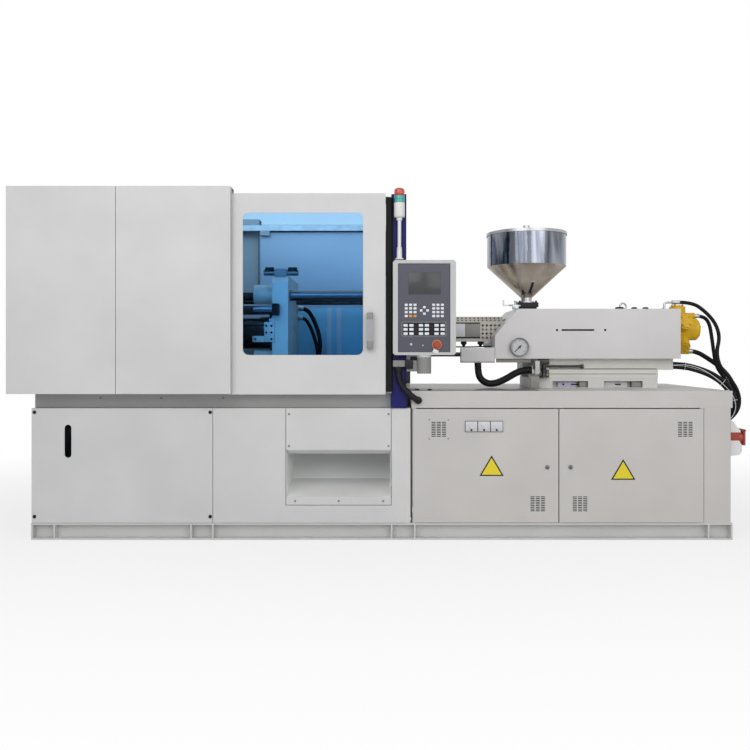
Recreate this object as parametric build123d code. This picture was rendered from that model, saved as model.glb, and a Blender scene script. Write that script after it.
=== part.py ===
from build123d import *
import math
import os

# Horizontal injection moulding machine. Lengths are in millimetres.
# X runs along the machine, Y to its back, Z up; the origin is on the floor under the middle of the base.

# Shared fits and sheet sizes
sheet = 3.0
slip = 0.3
gap = 3.0
overrun = 20.0

# Whole machine
base_length = 4212.0
base_width = 1100.0
rail_height = 100.0
deck_height = 792.0
bed_rise = 102.0
axis_rise = 386.0
seam_x = 175.0

# Base rails and frame tubes
rail_flange = 100.0
rail_flange_thick = 10.0
rail_web = 8.0
stiffener_thick = 10.0
stiffener_shares = (0.033, 0.228, 0.259, 0.514, 0.547, 0.966)
frame_tube = 90.0
frame_wall = 6.0
bed_beam_inner = 210.0
bed_beam_width = 120.0
table_beam_inner = 150.0
table_post_inset = 60.0

# Panels of the clamp side
panel_depth = 25.0
panel_foot_gap = 2.0
service_seam_gap = 440.0
grip_slot_inset = 222.0
grip_slot_drop = 200.0
grip_slot_width = 41.0
grip_slot_height = 198.0
skirt_setback = 50.0

# Discharge chute
chute_width = 630.0
chute_inset = 120.0
chute_cover_height = 252.0
chute_lip_rise = 158.0
chute_flange = 48.0
chute_floor_run = 343.0
chute_floor_rise = 57.0
chute_back_y = 195.0
chute_back_drop = 102.0
chute_seat_length = 60.0
chute_seat_height = 40.0
chute_seat_rise = 80.0

# Cabinet of the injection side
cabinet_wall = 3.0
stile_width = 159.0
stile_return = 40.0
table_sheet = 6.0
door_sheet = 2.5
door_seam_share = 0.502
hinge_inset_x = 9.0
hinge_inset_y = 6.0
hinge_pin_radius = 3.0
hinge_pin_reach = 9.0
panel_top_gap = 2.0
hinge_plate_reach = 20.0
mullion_width = 60.0
mullion_gap = 2.0
vent_size = 94.0
vent_columns = 3
vent_rows = 9
vent_slot_share = 0.78
vent_slit_share = 0.5
vent_drop = 128.0
vent_rise = 116.0
vent_hinge_inset = 155.0
vent_seam_inset = 127.0
vent_far_inset = 110.0
lock_offset_x = 70.0
lock_drop = 356.0
lock_radius = 13.5
lock_stem_radius = 9.0
lock_front = 4.0
lock_tongue_length = 52.0
lock_tongue_width = 16.0
lock_tongue_thick = 5.0
meter_inset = 312.0
meter_width = 76.0
meter_height = 66.0
meter_drop = 144.0
meter_front = 5.0
meter_back = 42.0
meter_count = 3
plate_side_gap = 79.0
plate_far_gap = 214.0
plate_foot_gap = 70.0
plate_head_gap = 92.0
device_depth = 70.0
device_width = 62.0
device_height = 84.0
device_counts = (9, 11)
device_row_shares = (0.245, 0.66)
wire_duct_height = 40.0

# Hydraulic power unit in the clamp base
tank_inset = 146.0
tank_length = 800.0
tank_width = 620.0
tank_height = 290.0
tank_bearer_inset = 110.0
pump_motor_radius = 112.0
motor_foot_share = 0.8
pump_motor_length = 340.0
pump_radius = 62.0
pump_length = 170.0
pump_foot = 26.0

# Guards of the clamp side
guard_overhang = 109.0
guard_side = 90.0
guard_drop = 14.0
cover_height = 1226.0
cover_panel_width = 646.0
door_opening = 915.0
cover_return = 37.0
end_cover_depth = 30.0
track_tube = 40.0
track_wall = 3.0
track_side = 10.0
track_drop = 10.0
guide_drop = 44.0
post_inset = 118.0
post_width = 90.0
post_depth = 80.0
post_drop = 32.0
post_wall = 4.0

# Sliding doors
door_side = 45.0
door_depth = 30.0
door_gap = 35.0
door_drop = 19.0
door_head_drop = 34.0
door_overlap = 20.0
window_width = 715.0
window_stile = 134.0
window_sill = 235.0
window_head = 117.0
window_corner = 36.0
pane_thick = 6.0
pane_lap = 14.0
seal_gap = 2.0
seal_depth = 34.0
seal_foot_gap = 15.0
seal_head_gap = 22.0
seal_foot = 4.0
glide_length = 70.0
glide_height = 34.0
glide_inset = 60.0
handle_inset = 93.0
handle_rise = 378.0
handle_width = 36.0
handle_height = 214.0
handle_standoff = 44.0
handle_bar = 14.0
handle_foot = 30.0

# Clamp unit
platen_half = 330.0
platen_chamfer = 45.0
fixed_face_inset = 155.0
fixed_thick = 160.0
daylight = 608.0
moving_thick = 100.0
platen_foot_length = 180.0
tie_offset = 210.0
tie_radius = 35.0
tie_nut_radius = 60.0
tie_nut_length = 60.0
boss_radius = 70.0
boss_length = 125.0
rear_platen_inset = 306.0
rear_platen_thick = 160.0
cylinder_radius = 190.0
cylinder_back = 270.0
cylinder_front = 470.0
cylinder_end = 30.0
ram_radius = 130.0
ram_gap = 160.0
ram_flange_radius = 180.0
ram_flange_thick = 40.0
ram_pocket_radius = 60.0
ram_pocket_depth = 220.0
ejector_radius = 25.0
ejector_head_radius = 55.0
ejector_head = 40.0
ejector_length = 290.0
jack_offset_z = 113.0
jack_radius = 33.0
jack_stand = 3.0
jack_lead = 550.0
jack_setback = 52.0
jack_cap = 40.0
jack_rod_radius = 16.0
jack_rod_gap = 190.0
jack_bore_end = 20.0
locating_radius = 62.5
locating_depth = 40.0
nozzle_hole_radius = 40.0
mould_bolt_y = 140.0
mould_bolt_z = 140.0
mould_bolt_radius = 8.0
mould_bolt_depth = 40.0
valve_y = -270.0
valve_block = (74.0, 60.0, 44.0)
valve_coil_radius = 18.0
valve_coil_length = 72.0
valve_coil_lift = 21.0
valve_plug = (56.0, 34.0, 34.0)

# Injection slide, carriage and housing
slide_lead = 120.0
slide_length = 821.0
slide_half = 188.0
slide_height = 66.0
slide_rail_inner = 120.0
slide_rail_width = 50.0
slide_rail_height = 25.0
slide_pocket_shares = ((0.173, 0.453), (0.579, 0.883))
slide_pocket_low = 4.0
slide_pocket_high = 45.0
slide_pocket_depth = 60.0
saddle_run = 85.0
saddle_length = 704.0
saddle_half = 188.0
body_run = 70.0
body_length = 887.0
body_half = 186.0
saddle_height = 52.0
cover_drop = 195.0
feed_run = 750.0
feed_length = 160.0
feed_half = 100.0
feed_rise = 110.0
block_gap = 210.0
block_length = 600.0
block_half = 125.0
block_rise = 114.0
block_wall = 40.0
gland_plate_lead = 35.0
gland_plate_rise = 30.0
gland_plate_height = 50.0
gland_plate_front = -240.0
gland_plate_back = -160.0
pull_rod_y = 130.0
pull_rod_drop = 168.0
pull_rod_radius = 14.0
pull_cylinder_radius = 27.0
pull_cylinder_run = 10.0
pull_cylinder_length = 350.0
pull_rod_gap = 50.0
pull_cylinder_end = 20.0

# Screw, barrel and guard
screw_radius = 21.0
screw_tip_run = 60.0
screw_tip_length = 30.0
shank_radius = 20.0
shank_reach = 25.0
collar_radius = 34.0
collar_length = 20.0
piston_nose_lead = 50.0
piston_nose_radius = 40.0
piston_nose_length = 130.0
piston_radius = 90.0
piston_length = 120.0
nozzle_reach = 90.0
nozzle_radius = 24.0
nozzle_tip_radius = 12.0
nozzle_cone = 26.0
barrel_head_run = 55.0
barrel_head_radius = 58.0
barrel_head_length = 60.0
barrel_radius = 46.0
barrel_flange_thick = 35.0
barrel_flange_radius = 76.0
band_radius = 56.0
band_first = 95.0
band_pitch = 190.0
band_count = 3
band_length = 150.0
orifice_radius = 5.0
barrel_guard_run = 58.0
barrel_guard_length = 568.0
guard_half = 82.0
guard_sheet = 2.5
guard_bevel = 34.0
guard_hole_radius = 8.0
guard_hole_pitch = 27.0
guard_hole_rows = 4
guard_row_share = 0.9
guard_bracket = 14.0

# Unit cover, terminal box and gauge
unit_lead = 205.0
unit_tail = 10.0
unit_half = 255.0
unit_rise = 124.0
unit_slope_length = 147.0
unit_slope_drop = 47.0
unit_floor_length = 180.0
unit_lip = 70.0
cover_slot_run = 425.0
cover_slot_length = 208.0
cover_slot_drop = 12.0
cover_slot_height = 11.0
cover_dot_lead = 29.0
cover_dot_tail = 70.0
cover_dot_radius = 6.5
terminal_length = 215.0
terminal_drop = 26.0
terminal_height = 95.0
terminal_front = -250.0
terminal_back = -176.0
terminal_chamfer = 8.0
gauge_run = 152.0
gauge_rise = 74.0
gauge_radius = 59.0
gauge_depth = 32.0
gauge_dial_radius = 52.0
gauge_dial_depth = 9.0
gauge_pin_radius = 3.5
gauge_pin_length = 6.0
pointer_length = 44.0
pointer_tail = 16.0
pointer_width = 7.0
pointer_hub_radius = 8.0
pointer_thick = 2.0
pointer_lift = 3.0
pointer_rest_angle = -135.0

# Hopper
hopper_run = 44.0
hopper_radius = 261.0
hopper_sheet = 2.5
drum_height = 221.0
cone_height = 207.0
neck_radius = 36.5
neck_height = 34.0
hopper_flange_radius = 62.0
hopper_flange_thick = 8.0
throat_half = 58.0
throat_hole_radius = 32.0
gate_house_half = 67.5
gate_house_rise = 22.0
gate_house_height = 30.0
gate_floor = 11.0
gate_thick = 8.0
gate_half = 40.0
gate_lead = 112.0
gate_tail = 44.0
gate_handle_length = 45.0
gate_handle_width = 26.0
gate_tab_height = 40.0
gate_tab_thick = 8.0
lid_rim_radius = 266.0
lid_rim_height = 16.0
lid_rim_sheet = 3.0
lid_rise = 22.0
lid_flat_radius = 60.0
lid_knob_radius = 22.0
lid_knob_height = 34.0

# Hydraulic motor of the screw
motor_flange_radius = 105.0
motor_flange_thick = 25.0
motor_star_thick = 120.0
motor_core_radius = 96.0
motor_lobe_reach = 150.0
motor_lobe_radius = 52.0
motor_lobes = 5
motor_cap_thick = 8.0
motor_cap_share = 0.8
motor_end_radius = 74.0
motor_end_length = 72.0
motor_end_chamfer = 12.0
motor_bore_run = 153.0
port_radius = 21.0

# Control panel, its arm and the beacon
panel_lead = 8.0
panel_width = 371.0
panel_rise = 216.0
panel_height = 560.0
panel_reach = 90.0
console_depth = 75.0
panel_wall = 4.0
panel_corner = 12.0
face_side = 29.0
face_far_side = 33.0
face_foot = 16.0
face_head = 20.0
face_recess = 6.0
face_thick = 5.0
screen_side = 63.0
screen_width = 189.0
screen_height = 132.0
screen_head = 51.0
screen_recess = 2.0
key_rise = 1.2
key_column_shares = (0.159, 0.243, 0.327)
right_column_shares = (0.683, 0.764, 0.848)
key_row_shares = (0.534, 0.494, 0.452, 0.408)
key_size = (17.0, 13.0)
arrow_shares = (0.505, 0.471)
arrow_step = 19.0
arrow_size = (15.0, 13.0)
lower_column_shares = (0.146, 0.259, 0.44, 0.553, 0.738, 0.854)
lower_row_shares = (0.303, 0.258, 0.21)
lower_key_size = (24.0, 15.0)
pivot_radius = 25.0
pivot_flange_radius = 44.0
pivot_length = 70.0
pivot_flange = 14.0
bearing_radius = 42.0
bearing_drop = 12.0
arm_drop = 98.0
arm_height = 66.0
arm_inset = 50.0
gland_block_drop = 70.0
gland_block_height = 38.0
gland_block_depth = 40.0
gland_block_inset = 9.0
stop_shares = (0.744, 0.086)
stop_radius = 21.0
stop_head = 20.0
stop_stand = 10.0
stop_stem_radius = 10.0
stop_stem_length = 28.0
stop_chamfer = 4.0
stop_ring_radius = 29.0
beacon_inset = 47.0
beacon_side = 50.0
beacon_gap = 7.0
beacon_foot_thick = 10.0
beacon_foot_half = 24.0
beacon_pole_radius = 10.5
beacon_radius = 32.0
beacon_neck_height = 22.0
beacon_pole_height = 158.0
beacon_neck_radius = 17.0
beacon_socket_height = 71.0
beacon_socket_radius = 15.0
beacon_body_height = 85.0
beacon_green_height = 42.0
beacon_red_height = 47.0
beacon_crown = 10.0

# Power socket on the end wall
socket_inset = 100.0
socket_half = 50.0
socket_height = 214.0
socket_drop = 81.0
socket_depth = 72.0
socket_nose_rise = 63.0
socket_nose_height = 80.0
socket_nose_reach = 34.0
socket_chamfer = 10.0
socket_cavity_radius = 28.0
socket_cavity_depth = 30.0
flap_thick = 12.0
flap_half = 44.0
flap_pin_radius = 4.0
flap_ear = 10.0
flap_eye_radius = 9.0

# Hoses and cables: diameter, then the points of the route
wall_gland_radius = 26.0
wall_gland_length = 24.0
supply_diameter = 24.0
return_diameter = 24.0
drain_diameter = 31.0
cable_diameter = 38.0
conduit_diameter = 38.0
unit_conduit_diameter = 40.0
platen_hose_diameter = 30.0
pipe_radius = 12.0
run_share = 0.45
hose_gap = 1.0
pipe_inset = 30.0
pipe_run = 94.0
pipe_rise = 54.0
supply_y = -45.0
return_y = 5.0
drain_y = 60.0
cable_y = -110.0
unit_conduit_y = -213.0
supply_drop = 152.0
return_drop = 120.0
drain_drop = 180.0
cable_drop = 144.0
return_port_run = 55.0
return_rise = 90.0
drain_port_run = 39.0
drain_fall = 146.0
cable_rise = 28.0
conduit_inset = 41.0
conduit_side = 20.0
conduit_foot = 40.0
conduit_drop = 56.0
unit_conduit_inset = 111.0
unit_conduit_rise = 22.0
platen_hose_rise = 160.0
platen_hose_run = 124.0
platen_hose_inset = 102.0
supply_leaving = ((0, 0, 0), (92.0, 0, 0), (178.0, 0, -58.0), (248.0, 0, -136.0), (278.0, 0, -230.0),
                  (254.0, 0, -332.0), (278.0, 0, -432.0))
supply_arriving = ((209.0, 0, 306.0), (263.0, 0, 210.0), (261.0, 0, 106.0), (187.0, 0, 28.0), (91.0, 0, 0), (0, 0, 0))
return_leaving = ((0, 0, 0), (60.0, 0, 0), (102.0, 0, -44.0), (118.0, 0, -132.0), (132.0, 0, -240.0),
                  (148.0, 0, -340.0))
return_arriving = ((193.0, 0, 272.0), (245.0, 0, 178.0), (243.0, 0, 82.0), (175.0, 0, 20.0), (87.0, 0, 0), (0, 0, 0))
drain_leaving = ((0, 0, 0), (50.0, 0, 0), (134.0, 0, -50.0), (222.0, 0, -112.0))
drain_arriving = ((257.0, 0, 330.0), (289.0, 0, 228.0), (277.0, 0, 122.0), (207.0, 0, 36.0), (97.0, 0, 0), (0, 0, 0))
cable_leaving = ((0, 0, 0), (85.0, 0, 0), (191.0, 0, -24.0), (291.0, 0, -64.0))
cable_arriving = ((145.0, 0, 264.0), (197.0, 0, 176.0), (189.0, 0, 74.0), (107.0, 0, 0), (0, 0, 0))
conduit_leaving = ((0, 0, 0), (0, 0, -62.0), (24.0, -12.0, -120.0), (66.0, -22.0, -164.0))
conduit_arriving = ((-14.0, -42.0, 8.0), (0, -22.0, 0), (0, 0, 0))
unit_conduit_leaving = ((0, 0, 0), (0, 0, -51.0), (13.0, 0, -103.0), (59.0, 0, -135.0), (115.0, 0, -133.0))
unit_conduit_arriving = ((-165.0, 0, -58.0), (-103.0, 0, -20.0), (-51.0, 0, 0), (0, 0, 0))
platen_hose_leaving = ((0, 0, 0), (56.0, 0, 0), (104.0, 0, -68.0), (142.0, 0, -164.0), (158.0, 0, -264.0))
platen_hose_arriving = ((18.0, 40.0, 186.0), (4.0, 32.0, 112.0), (0, 0, 52.0), (0, 0, 0))
port_block_length = 44.0
port_block_depth = 44.0
port_block_height = 38.0

# Heights that follow from the sizes above
bed_height = deck_height + bed_rise
axis_height = bed_height + axis_rise
panel_bottom = rail_height + panel_foot_gap
grip_slot_z = deck_height - grip_slot_drop
chute_top = deck_height - chute_cover_height
chute_lip = rail_height + chute_lip_rise
chute_back_height = deck_height - chute_back_drop
chute_seat_z = chute_lip + chute_seat_rise
lock_z = deck_height - lock_drop
meter_bottom = deck_height - meter_drop
plate_bottom = rail_height + plate_foot_gap
plate_top = deck_height - plate_head_gap
device_row_heights = [plate_bottom + share * (plate_top - plate_bottom) for share in device_row_shares]
guard_bottom = bed_height - guard_drop
cover_top = guard_bottom + cover_height
track_bottom = bed_height - track_drop
guide_top = cover_top - guide_drop
post_top = cover_top - post_drop
door_bottom = bed_height - door_drop
door_top = cover_top - door_head_drop
window_bottom = door_bottom + window_sill
window_top = door_top - window_head
seal_bottom = door_bottom + seal_foot_gap
seal_top = door_top - seal_head_gap
handle_z = door_bottom + handle_rise
slide_top = bed_height + slide_height
body_bottom = slide_top + saddle_height
cover_bottom = axis_height - cover_drop
feed_top = axis_height + feed_rise
block_top = axis_height + block_rise
gland_plate_bottom = slide_top + gland_plate_rise
gland_plate_top = gland_plate_bottom + gland_plate_height
pull_rod_z = axis_height - pull_rod_drop
unit_top = axis_height + unit_rise
unit_slope_z = axis_height - unit_slope_drop
cover_slot_z = axis_height - cover_slot_drop
terminal_bottom = cover_bottom - terminal_drop
terminal_top = terminal_bottom + terminal_height
gauge_z = cover_bottom + gauge_rise
gate_house_bottom = unit_top + gate_house_rise
gate_house_top = gate_house_bottom + gate_house_height
gate_bottom = gate_house_bottom + gate_floor
neck_top = gate_house_top + neck_height
hopper_shoulder = neck_top + cone_height
hopper_top = hopper_shoulder + drum_height
panel_low = bed_height + panel_rise
panel_high = panel_low + panel_height
face_low = panel_low + face_foot
face_high = panel_high - face_head
screen_high = face_high - screen_head
screen_low = screen_high - screen_height
arm_bottom = panel_low - arm_drop
arm_top = arm_bottom + arm_height
bearing_bottom = arm_bottom - bearing_drop
gland_block_low = panel_low - gland_block_drop
gland_block_high = gland_block_low + gland_block_height
beacon_foot_low = panel_high + beacon_gap
beacon_socket_high = beacon_foot_low + beacon_socket_height
beacon_neck_low = beacon_socket_high + beacon_pole_height
beacon_body_low = beacon_neck_low + beacon_neck_height
beacon_green_low = beacon_body_low + beacon_body_height
beacon_red_low = beacon_green_low + beacon_green_height
beacon_top = beacon_red_low + beacon_red_height
socket_high = deck_height - socket_drop
socket_low = socket_high - socket_height
socket_nose_low = socket_low + socket_nose_rise
socket_nose_high = socket_nose_low + socket_nose_height
platen_low = axis_height - platen_half

# Depths from the front to the back
half_width = base_width / 2
guard_front = half_width + guard_side
track_front = half_width + track_side
door_front = half_width + door_side
panel_front = half_width + panel_reach
panel_back = panel_front - console_depth
arm_back = half_width - arm_inset
beacon_y = -half_width - beacon_side
socket_y = socket_inset - half_width
jack_y = platen_half + jack_stand + jack_radius

# Places along the clamp side
base_left = -base_length / 2
base_right = base_length / 2
guard_left = base_left - guard_overhang
post_left_x = seam_x - post_inset
door_right_x = post_left_x - door_gap
cover_right_x = door_right_x - door_opening
window_right_x = door_right_x - window_stile
window_left_x = window_right_x - window_width
handle_x = door_right_x - handle_inset
chute_right_x = seam_x - chute_inset
chute_left_x = chute_right_x - chute_width
service_seam_x = chute_left_x - service_seam_gap
grip_slot_x = base_left + grip_slot_inset
tank_left_x = base_left + tank_inset
cover_seam_x = guard_left + cover_panel_width
fixed_face_x = seam_x - fixed_face_inset
fixed_back_x = fixed_face_x + fixed_thick
moving_face_x = fixed_face_x - daylight
rear_platen_x = base_left + rear_platen_inset
cylinder_left_x = rear_platen_x - cylinder_back
cylinder_right_x = rear_platen_x + cylinder_front
cylinder_bottom_x = cylinder_left_x + cylinder_end
ram_left_x = cylinder_bottom_x + ram_gap
jack_right_x = moving_face_x - jack_setback
jack_left_x = rear_platen_x + jack_lead
jack_rod_end_x = jack_right_x - jack_rod_gap
door_left_x = cover_right_x - door_overlap

# Places along the injection side
nozzle_tip_x = fixed_back_x - nozzle_reach
barrel_head_x = fixed_back_x + barrel_head_run
screw_tip_x = barrel_head_x + screw_tip_run
band_starts = [barrel_head_x + band_first + band_pitch * index for index in range(band_count)]
guard_left_x = fixed_back_x + barrel_guard_run
guard_right_x = guard_left_x + barrel_guard_length
feed_left_x = fixed_back_x + feed_run
barrel_flange_x = feed_left_x - barrel_flange_thick
feed_right_x = feed_left_x + feed_length
hopper_x = feed_left_x + hopper_run
body_left_x = feed_left_x + body_run
body_right_x = body_left_x + body_length
saddle_left_x = body_left_x + saddle_run
saddle_right_x = saddle_left_x + saddle_length
block_left_x = feed_right_x + block_gap
block_right_x = block_left_x + block_length
slide_left_x = saddle_left_x - slide_lead
slide_right_x = slide_left_x + slide_length
slide_pockets = [[slide_left_x + share * slide_length for share in pair] for pair in slide_pocket_shares]
gland_plate_left_x = body_left_x - gland_plate_lead
pull_cylinder_left_x = feed_left_x + pull_cylinder_run
pull_cylinder_right_x = pull_cylinder_left_x + pull_cylinder_length
pull_rod_end_x = pull_cylinder_right_x - pull_rod_gap
pull_bore_end_x = pull_cylinder_right_x - pull_cylinder_end
piston_nose_x = block_left_x - piston_nose_lead
piston_left_x = piston_nose_x + piston_nose_length
unit_left_x = feed_left_x - unit_lead
unit_right_x = block_right_x + unit_tail
unit_slope_x = unit_left_x + unit_slope_length
unit_floor_x = unit_left_x + unit_floor_length
cover_slot_left_x = unit_left_x + cover_slot_run
cover_slot_x = (cover_slot_left_x, cover_slot_left_x + cover_slot_length)
cover_dots_x = (cover_slot_x[0] - cover_dot_lead, cover_slot_x[1] + cover_dot_tail)
terminal_left_x = unit_left_x - terminal_length
gauge_x = unit_left_x + gauge_run
gate_left_x = hopper_x - gate_lead
gate_right_x = hopper_x + gate_tail
gate_handle_left_x = gate_left_x - gate_handle_length
motor_star_x = block_right_x + motor_flange_thick
shank_end_x = motor_star_x + shank_reach
motor_bore_end_x = shank_end_x + motor_bore_run
panel_left_x = post_left_x + panel_lead
panel_right_x = panel_left_x + panel_width
face_left_x = panel_left_x + face_side
face_right_x = panel_right_x - face_far_side
screen_left_x = face_left_x + screen_side
screen_right_x = screen_left_x + screen_width
beacon_x = post_left_x + beacon_inset
panel_pivot_x = (panel_left_x + panel_right_x) / 2
panel_pivot_y = -(panel_front + panel_back) / 2

# Places on the control face
face_width = face_right_x - face_left_x
face_height = face_high - face_low
key_columns = [face_left_x + share * face_width for share in key_column_shares]
right_key_columns = [face_left_x + share * face_width for share in right_column_shares]
key_rows = [face_low + share * face_height for share in key_row_shares]
lower_columns = [face_left_x + share * face_width for share in lower_column_shares]
lower_rows = [face_low + share * face_height for share in lower_row_shares]
arrow_centre = (face_left_x + arrow_shares[0] * face_width, face_low + arrow_shares[1] * face_height)
stop_x = face_left_x + stop_shares[0] * face_width
stop_z = face_low + stop_shares[1] * face_height

# Places on the cabinet
table_left_x = seam_x + gap
cabinet_left_x = seam_x + 2 * gap
cabinet_right_x = base_right - 4 * gap
door_left_edge = cabinet_left_x + cabinet_wall + gap
door_right_edge = cabinet_right_x - stile_width - gap
door_seam_x = door_left_edge + door_seam_share * (door_right_edge - door_left_edge)
vent_high_z = deck_height - vent_drop
vent_low_z = rail_height + vent_rise
left_vents = ((door_left_edge + vent_hinge_inset, vent_high_z), (door_seam_x - vent_seam_inset, vent_low_z))
right_vents = ((door_seam_x + vent_seam_inset, vent_low_z), (door_right_edge - vent_far_inset, vent_high_z))
meter_left_x = door_left_edge + meter_inset
plate_left_x = cabinet_left_x + plate_side_gap
plate_right_x = cabinet_right_x - plate_far_gap

# Ends of the hoses and cables, then their routes
gland_face_x = cabinet_right_x + wall_gland_length + hose_gap
pipe_foot_x = unit_right_x - pipe_inset
supply_x = pipe_foot_x + pipe_run
supply_z = unit_top + pipe_rise
motor_end_x = motor_star_x + motor_star_thick


def routed(start, leaving, end, arriving):
    points = [tuple(a + b for a, b in zip(start, step)) for step in leaving]
    return points + [tuple(a + b for a, b in zip(end, step)) for step in arriving]


supply_route = routed((supply_x, supply_y, supply_z), supply_leaving,
                      (gland_face_x, supply_y, deck_height - supply_drop), supply_arriving)
return_route = routed((motor_end_x + return_port_run, return_y, axis_height + return_rise), return_leaving,
                      (gland_face_x, return_y, deck_height - return_drop), return_arriving)
drain_route = routed((motor_end_x + drain_port_run, drain_y, axis_height - drain_fall), drain_leaving,
                     (gland_face_x, drain_y, deck_height - drain_drop), drain_arriving)
cable_route = routed((body_right_x, cable_y, body_bottom + cable_rise), cable_leaving,
                     (gland_face_x, cable_y, deck_height - cable_drop), cable_arriving)
conduit_route = routed((post_left_x + conduit_inset, -track_front - conduit_side, gland_block_low), conduit_leaving,
                       (table_left_x + conduit_foot, -half_width, bed_height - conduit_drop), conduit_arriving)
unit_conduit_route = routed((terminal_left_x + unit_conduit_inset, unit_conduit_y, terminal_bottom),
                            unit_conduit_leaving,
                            (gland_plate_left_x, unit_conduit_y, gland_plate_bottom + unit_conduit_rise),
                            unit_conduit_arriving)
platen_hose_route = routed((moving_face_x, platen_half + port_block_depth / 2, axis_height + platen_hose_rise),
                           platen_hose_leaving,
                           (moving_face_x + platen_hose_run, bed_beam_inner + platen_hose_inset, bed_height),
                           platen_hose_arriving)
tie_places = [(y, axis_height + z) for y in (-tie_offset, tie_offset) for z in (-tie_offset, tie_offset)]
sides = (-1, 1)


def block(xs, ys, zs):
    centre = Pos((xs[0] + xs[1]) / 2, (ys[0] + ys[1]) / 2, (zs[0] + zs[1]) / 2)
    return centre * Box(xs[1] - xs[0], ys[1] - ys[0], zs[1] - zs[0])


def around(middle, half):
    return (middle - half, middle + half)


def both(inner, outer, side):
    return (inner, outer) if side > 0 else (-outer, -inner)


def tray(xs, ys, zs, wall, mouth):
    inner = [[xs[0] + wall, xs[1] - wall], [ys[0] + wall, ys[1] - wall], [zs[0] + wall, zs[1] - wall]]
    axis = "xyz".index(mouth[1])
    if mouth[0] == "+":
        inner[axis][1] += wall + overrun
    else:
        inner[axis][0] -= wall + overrun
    return block(xs, ys, zs) - block(*inner)


def tube(xs, ys, zs, wall, along):
    ranges = [list(xs), list(ys), list(zs)]
    inner = [[r[0] + wall, r[1] - wall] for r in ranges]
    axis = "xyz".index(along)
    inner[axis] = [ranges[axis][0] - overrun, ranges[axis][1] + overrun]
    return block(xs, ys, zs) - block(*inner)


def rod_x(x0, x1, y, z, radius):
    return Pos((x0 + x1) / 2, y, z) * Rot(0, 90, 0) * Cylinder(radius, x1 - x0)


def rod_y(y0, y1, x, z, radius):
    return Pos(x, (y0 + y1) / 2, z) * Rot(90, 0, 0) * Cylinder(radius, y1 - y0)


def rod_z(z0, z1, x, y, radius):
    return Pos(x, y, (z0 + z1) / 2) * Cylinder(radius, z1 - z0)


def turned_x(points, y, z):
    face = make_face(Polyline(*points, close=True))
    return Pos(0, y, z) * revolve(face, Axis.X)


def turned_z(points, x, y):
    face = Plane.XZ * make_face(Polyline(*points, close=True))
    return Pos(x, y, 0) * revolve(face, Axis.Z)


def prism_y(points, y0, y1):
    face = Plane.XZ * make_face(Polyline(*points, close=True))
    return Pos(0, y1, 0) * extrude(face, y1 - y0)


def prism_x(points, x0, x1):
    face = Plane.YZ * make_face(Polyline(*points, close=True))
    return Pos(x0, 0, 0) * extrude(face, x1 - x0)


def mirrored(shape):
    return mirror(shape, Plane.XZ)


def group(*shapes):
    solids = []
    for shape in shapes:
        solids += list(shape.solids())
    return Compound(solids)


# Base rails: I sections with web stiffeners and end plates
def base_rail(side):
    y = side * (half_width - rail_flange / 2)
    z = rail_height / 2
    notch_depth = (rail_flange - rail_web) / 2
    notch = Rectangle(notch_depth, rail_height - 2 * rail_flange_thick)
    shift = rail_web / 2 + notch_depth / 2
    section = Rectangle(rail_flange, rail_height) - Pos(shift, 0) * notch - Pos(-shift, 0) * notch
    plane = Plane(origin=(base_left, y, z), x_dir=(0, 1, 0), z_dir=(1, 0, 0))
    rail = extrude(plane * section, base_length)
    places = [base_left + share * base_length for share in stiffener_shares]
    places += [base_left + stiffener_thick / 2, base_right - stiffener_thick / 2]
    for x in places:
        web_z = (rail_flange_thick, rail_height - rail_flange_thick)
        rail += block(around(x, stiffener_thick / 2), around(y, rail_flange / 2), web_z)
    return rail


bottom_rails = group(base_rail(-1), base_rail(1))

# Frame tubes: deck beams, uprights, cross members, bed beams and table beams
deck_low = deck_height - frame_tube
tube_outer = half_width - panel_depth
tube_inner = tube_outer - frame_tube
rail_inner = half_width - rail_flange
chute_post_x = chute_left_x - gap - frame_tube / 2
clamp_posts_x = (base_left + panel_depth + frame_tube / 2, service_seam_x, chute_post_x,
                 (chute_right_x + seam_x) / 2)
table_posts_x = (cabinet_left_x + table_post_inset, cabinet_right_x - table_post_inset - frame_tube)
table_beam_top = bed_height - table_sheet
table_beam_low = table_beam_top - frame_tube
frame_parts = []
for side in sides:
    deck_y = both(tube_inner, tube_outer, side)
    deck_x = (base_left + panel_depth, seam_x - gap)
    frame_parts.append(tube(deck_x, deck_y, (deck_low, deck_height), frame_wall, "x"))
    for x in clamp_posts_x:
        post_x = around(x, frame_tube / 2)
        frame_parts.append(tube(post_x, deck_y, (rail_height, deck_low), frame_wall, "z"))
    bed_y = both(bed_beam_inner, bed_beam_inner + bed_beam_width, side)
    frame_parts.append(tube(deck_x, bed_y, (deck_height, bed_height), frame_wall, "x"))
    table_y = both(table_beam_inner, table_beam_inner + frame_tube, side)
    table_x = (cabinet_left_x + cabinet_wall + gap, cabinet_right_x - cabinet_wall - gap)
    frame_parts.append(tube(table_x, table_y, (table_beam_low, table_beam_top), frame_wall, "x"))
    for x in table_posts_x:
        post_x = (x, x + frame_tube)
        frame_parts.append(tube(post_x, table_y, (rail_height, table_beam_low), frame_wall, "z"))
for x in clamp_posts_x:
    cross_x = around(x, frame_tube / 2)
    frame_parts.append(tube(cross_x, (-tube_inner, tube_inner), (deck_low, deck_height), frame_wall, "y"))
    frame_parts.append(tube(cross_x, (-rail_inner, rail_inner), (0, rail_height), frame_wall, "y"))
for x in table_posts_x:
    frame_parts.append(tube((x, x + frame_tube), (-rail_inner, rail_inner), (0, rail_height), frame_wall, "y"))
for x in (tank_left_x + tank_bearer_inset, tank_left_x + tank_length - tank_bearer_inset):
    bearer_x = around(x, frame_tube / 2)
    frame_parts.append(tube(bearer_x, (-rail_inner, rail_inner), (0, rail_height), frame_wall, "y"))
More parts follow.
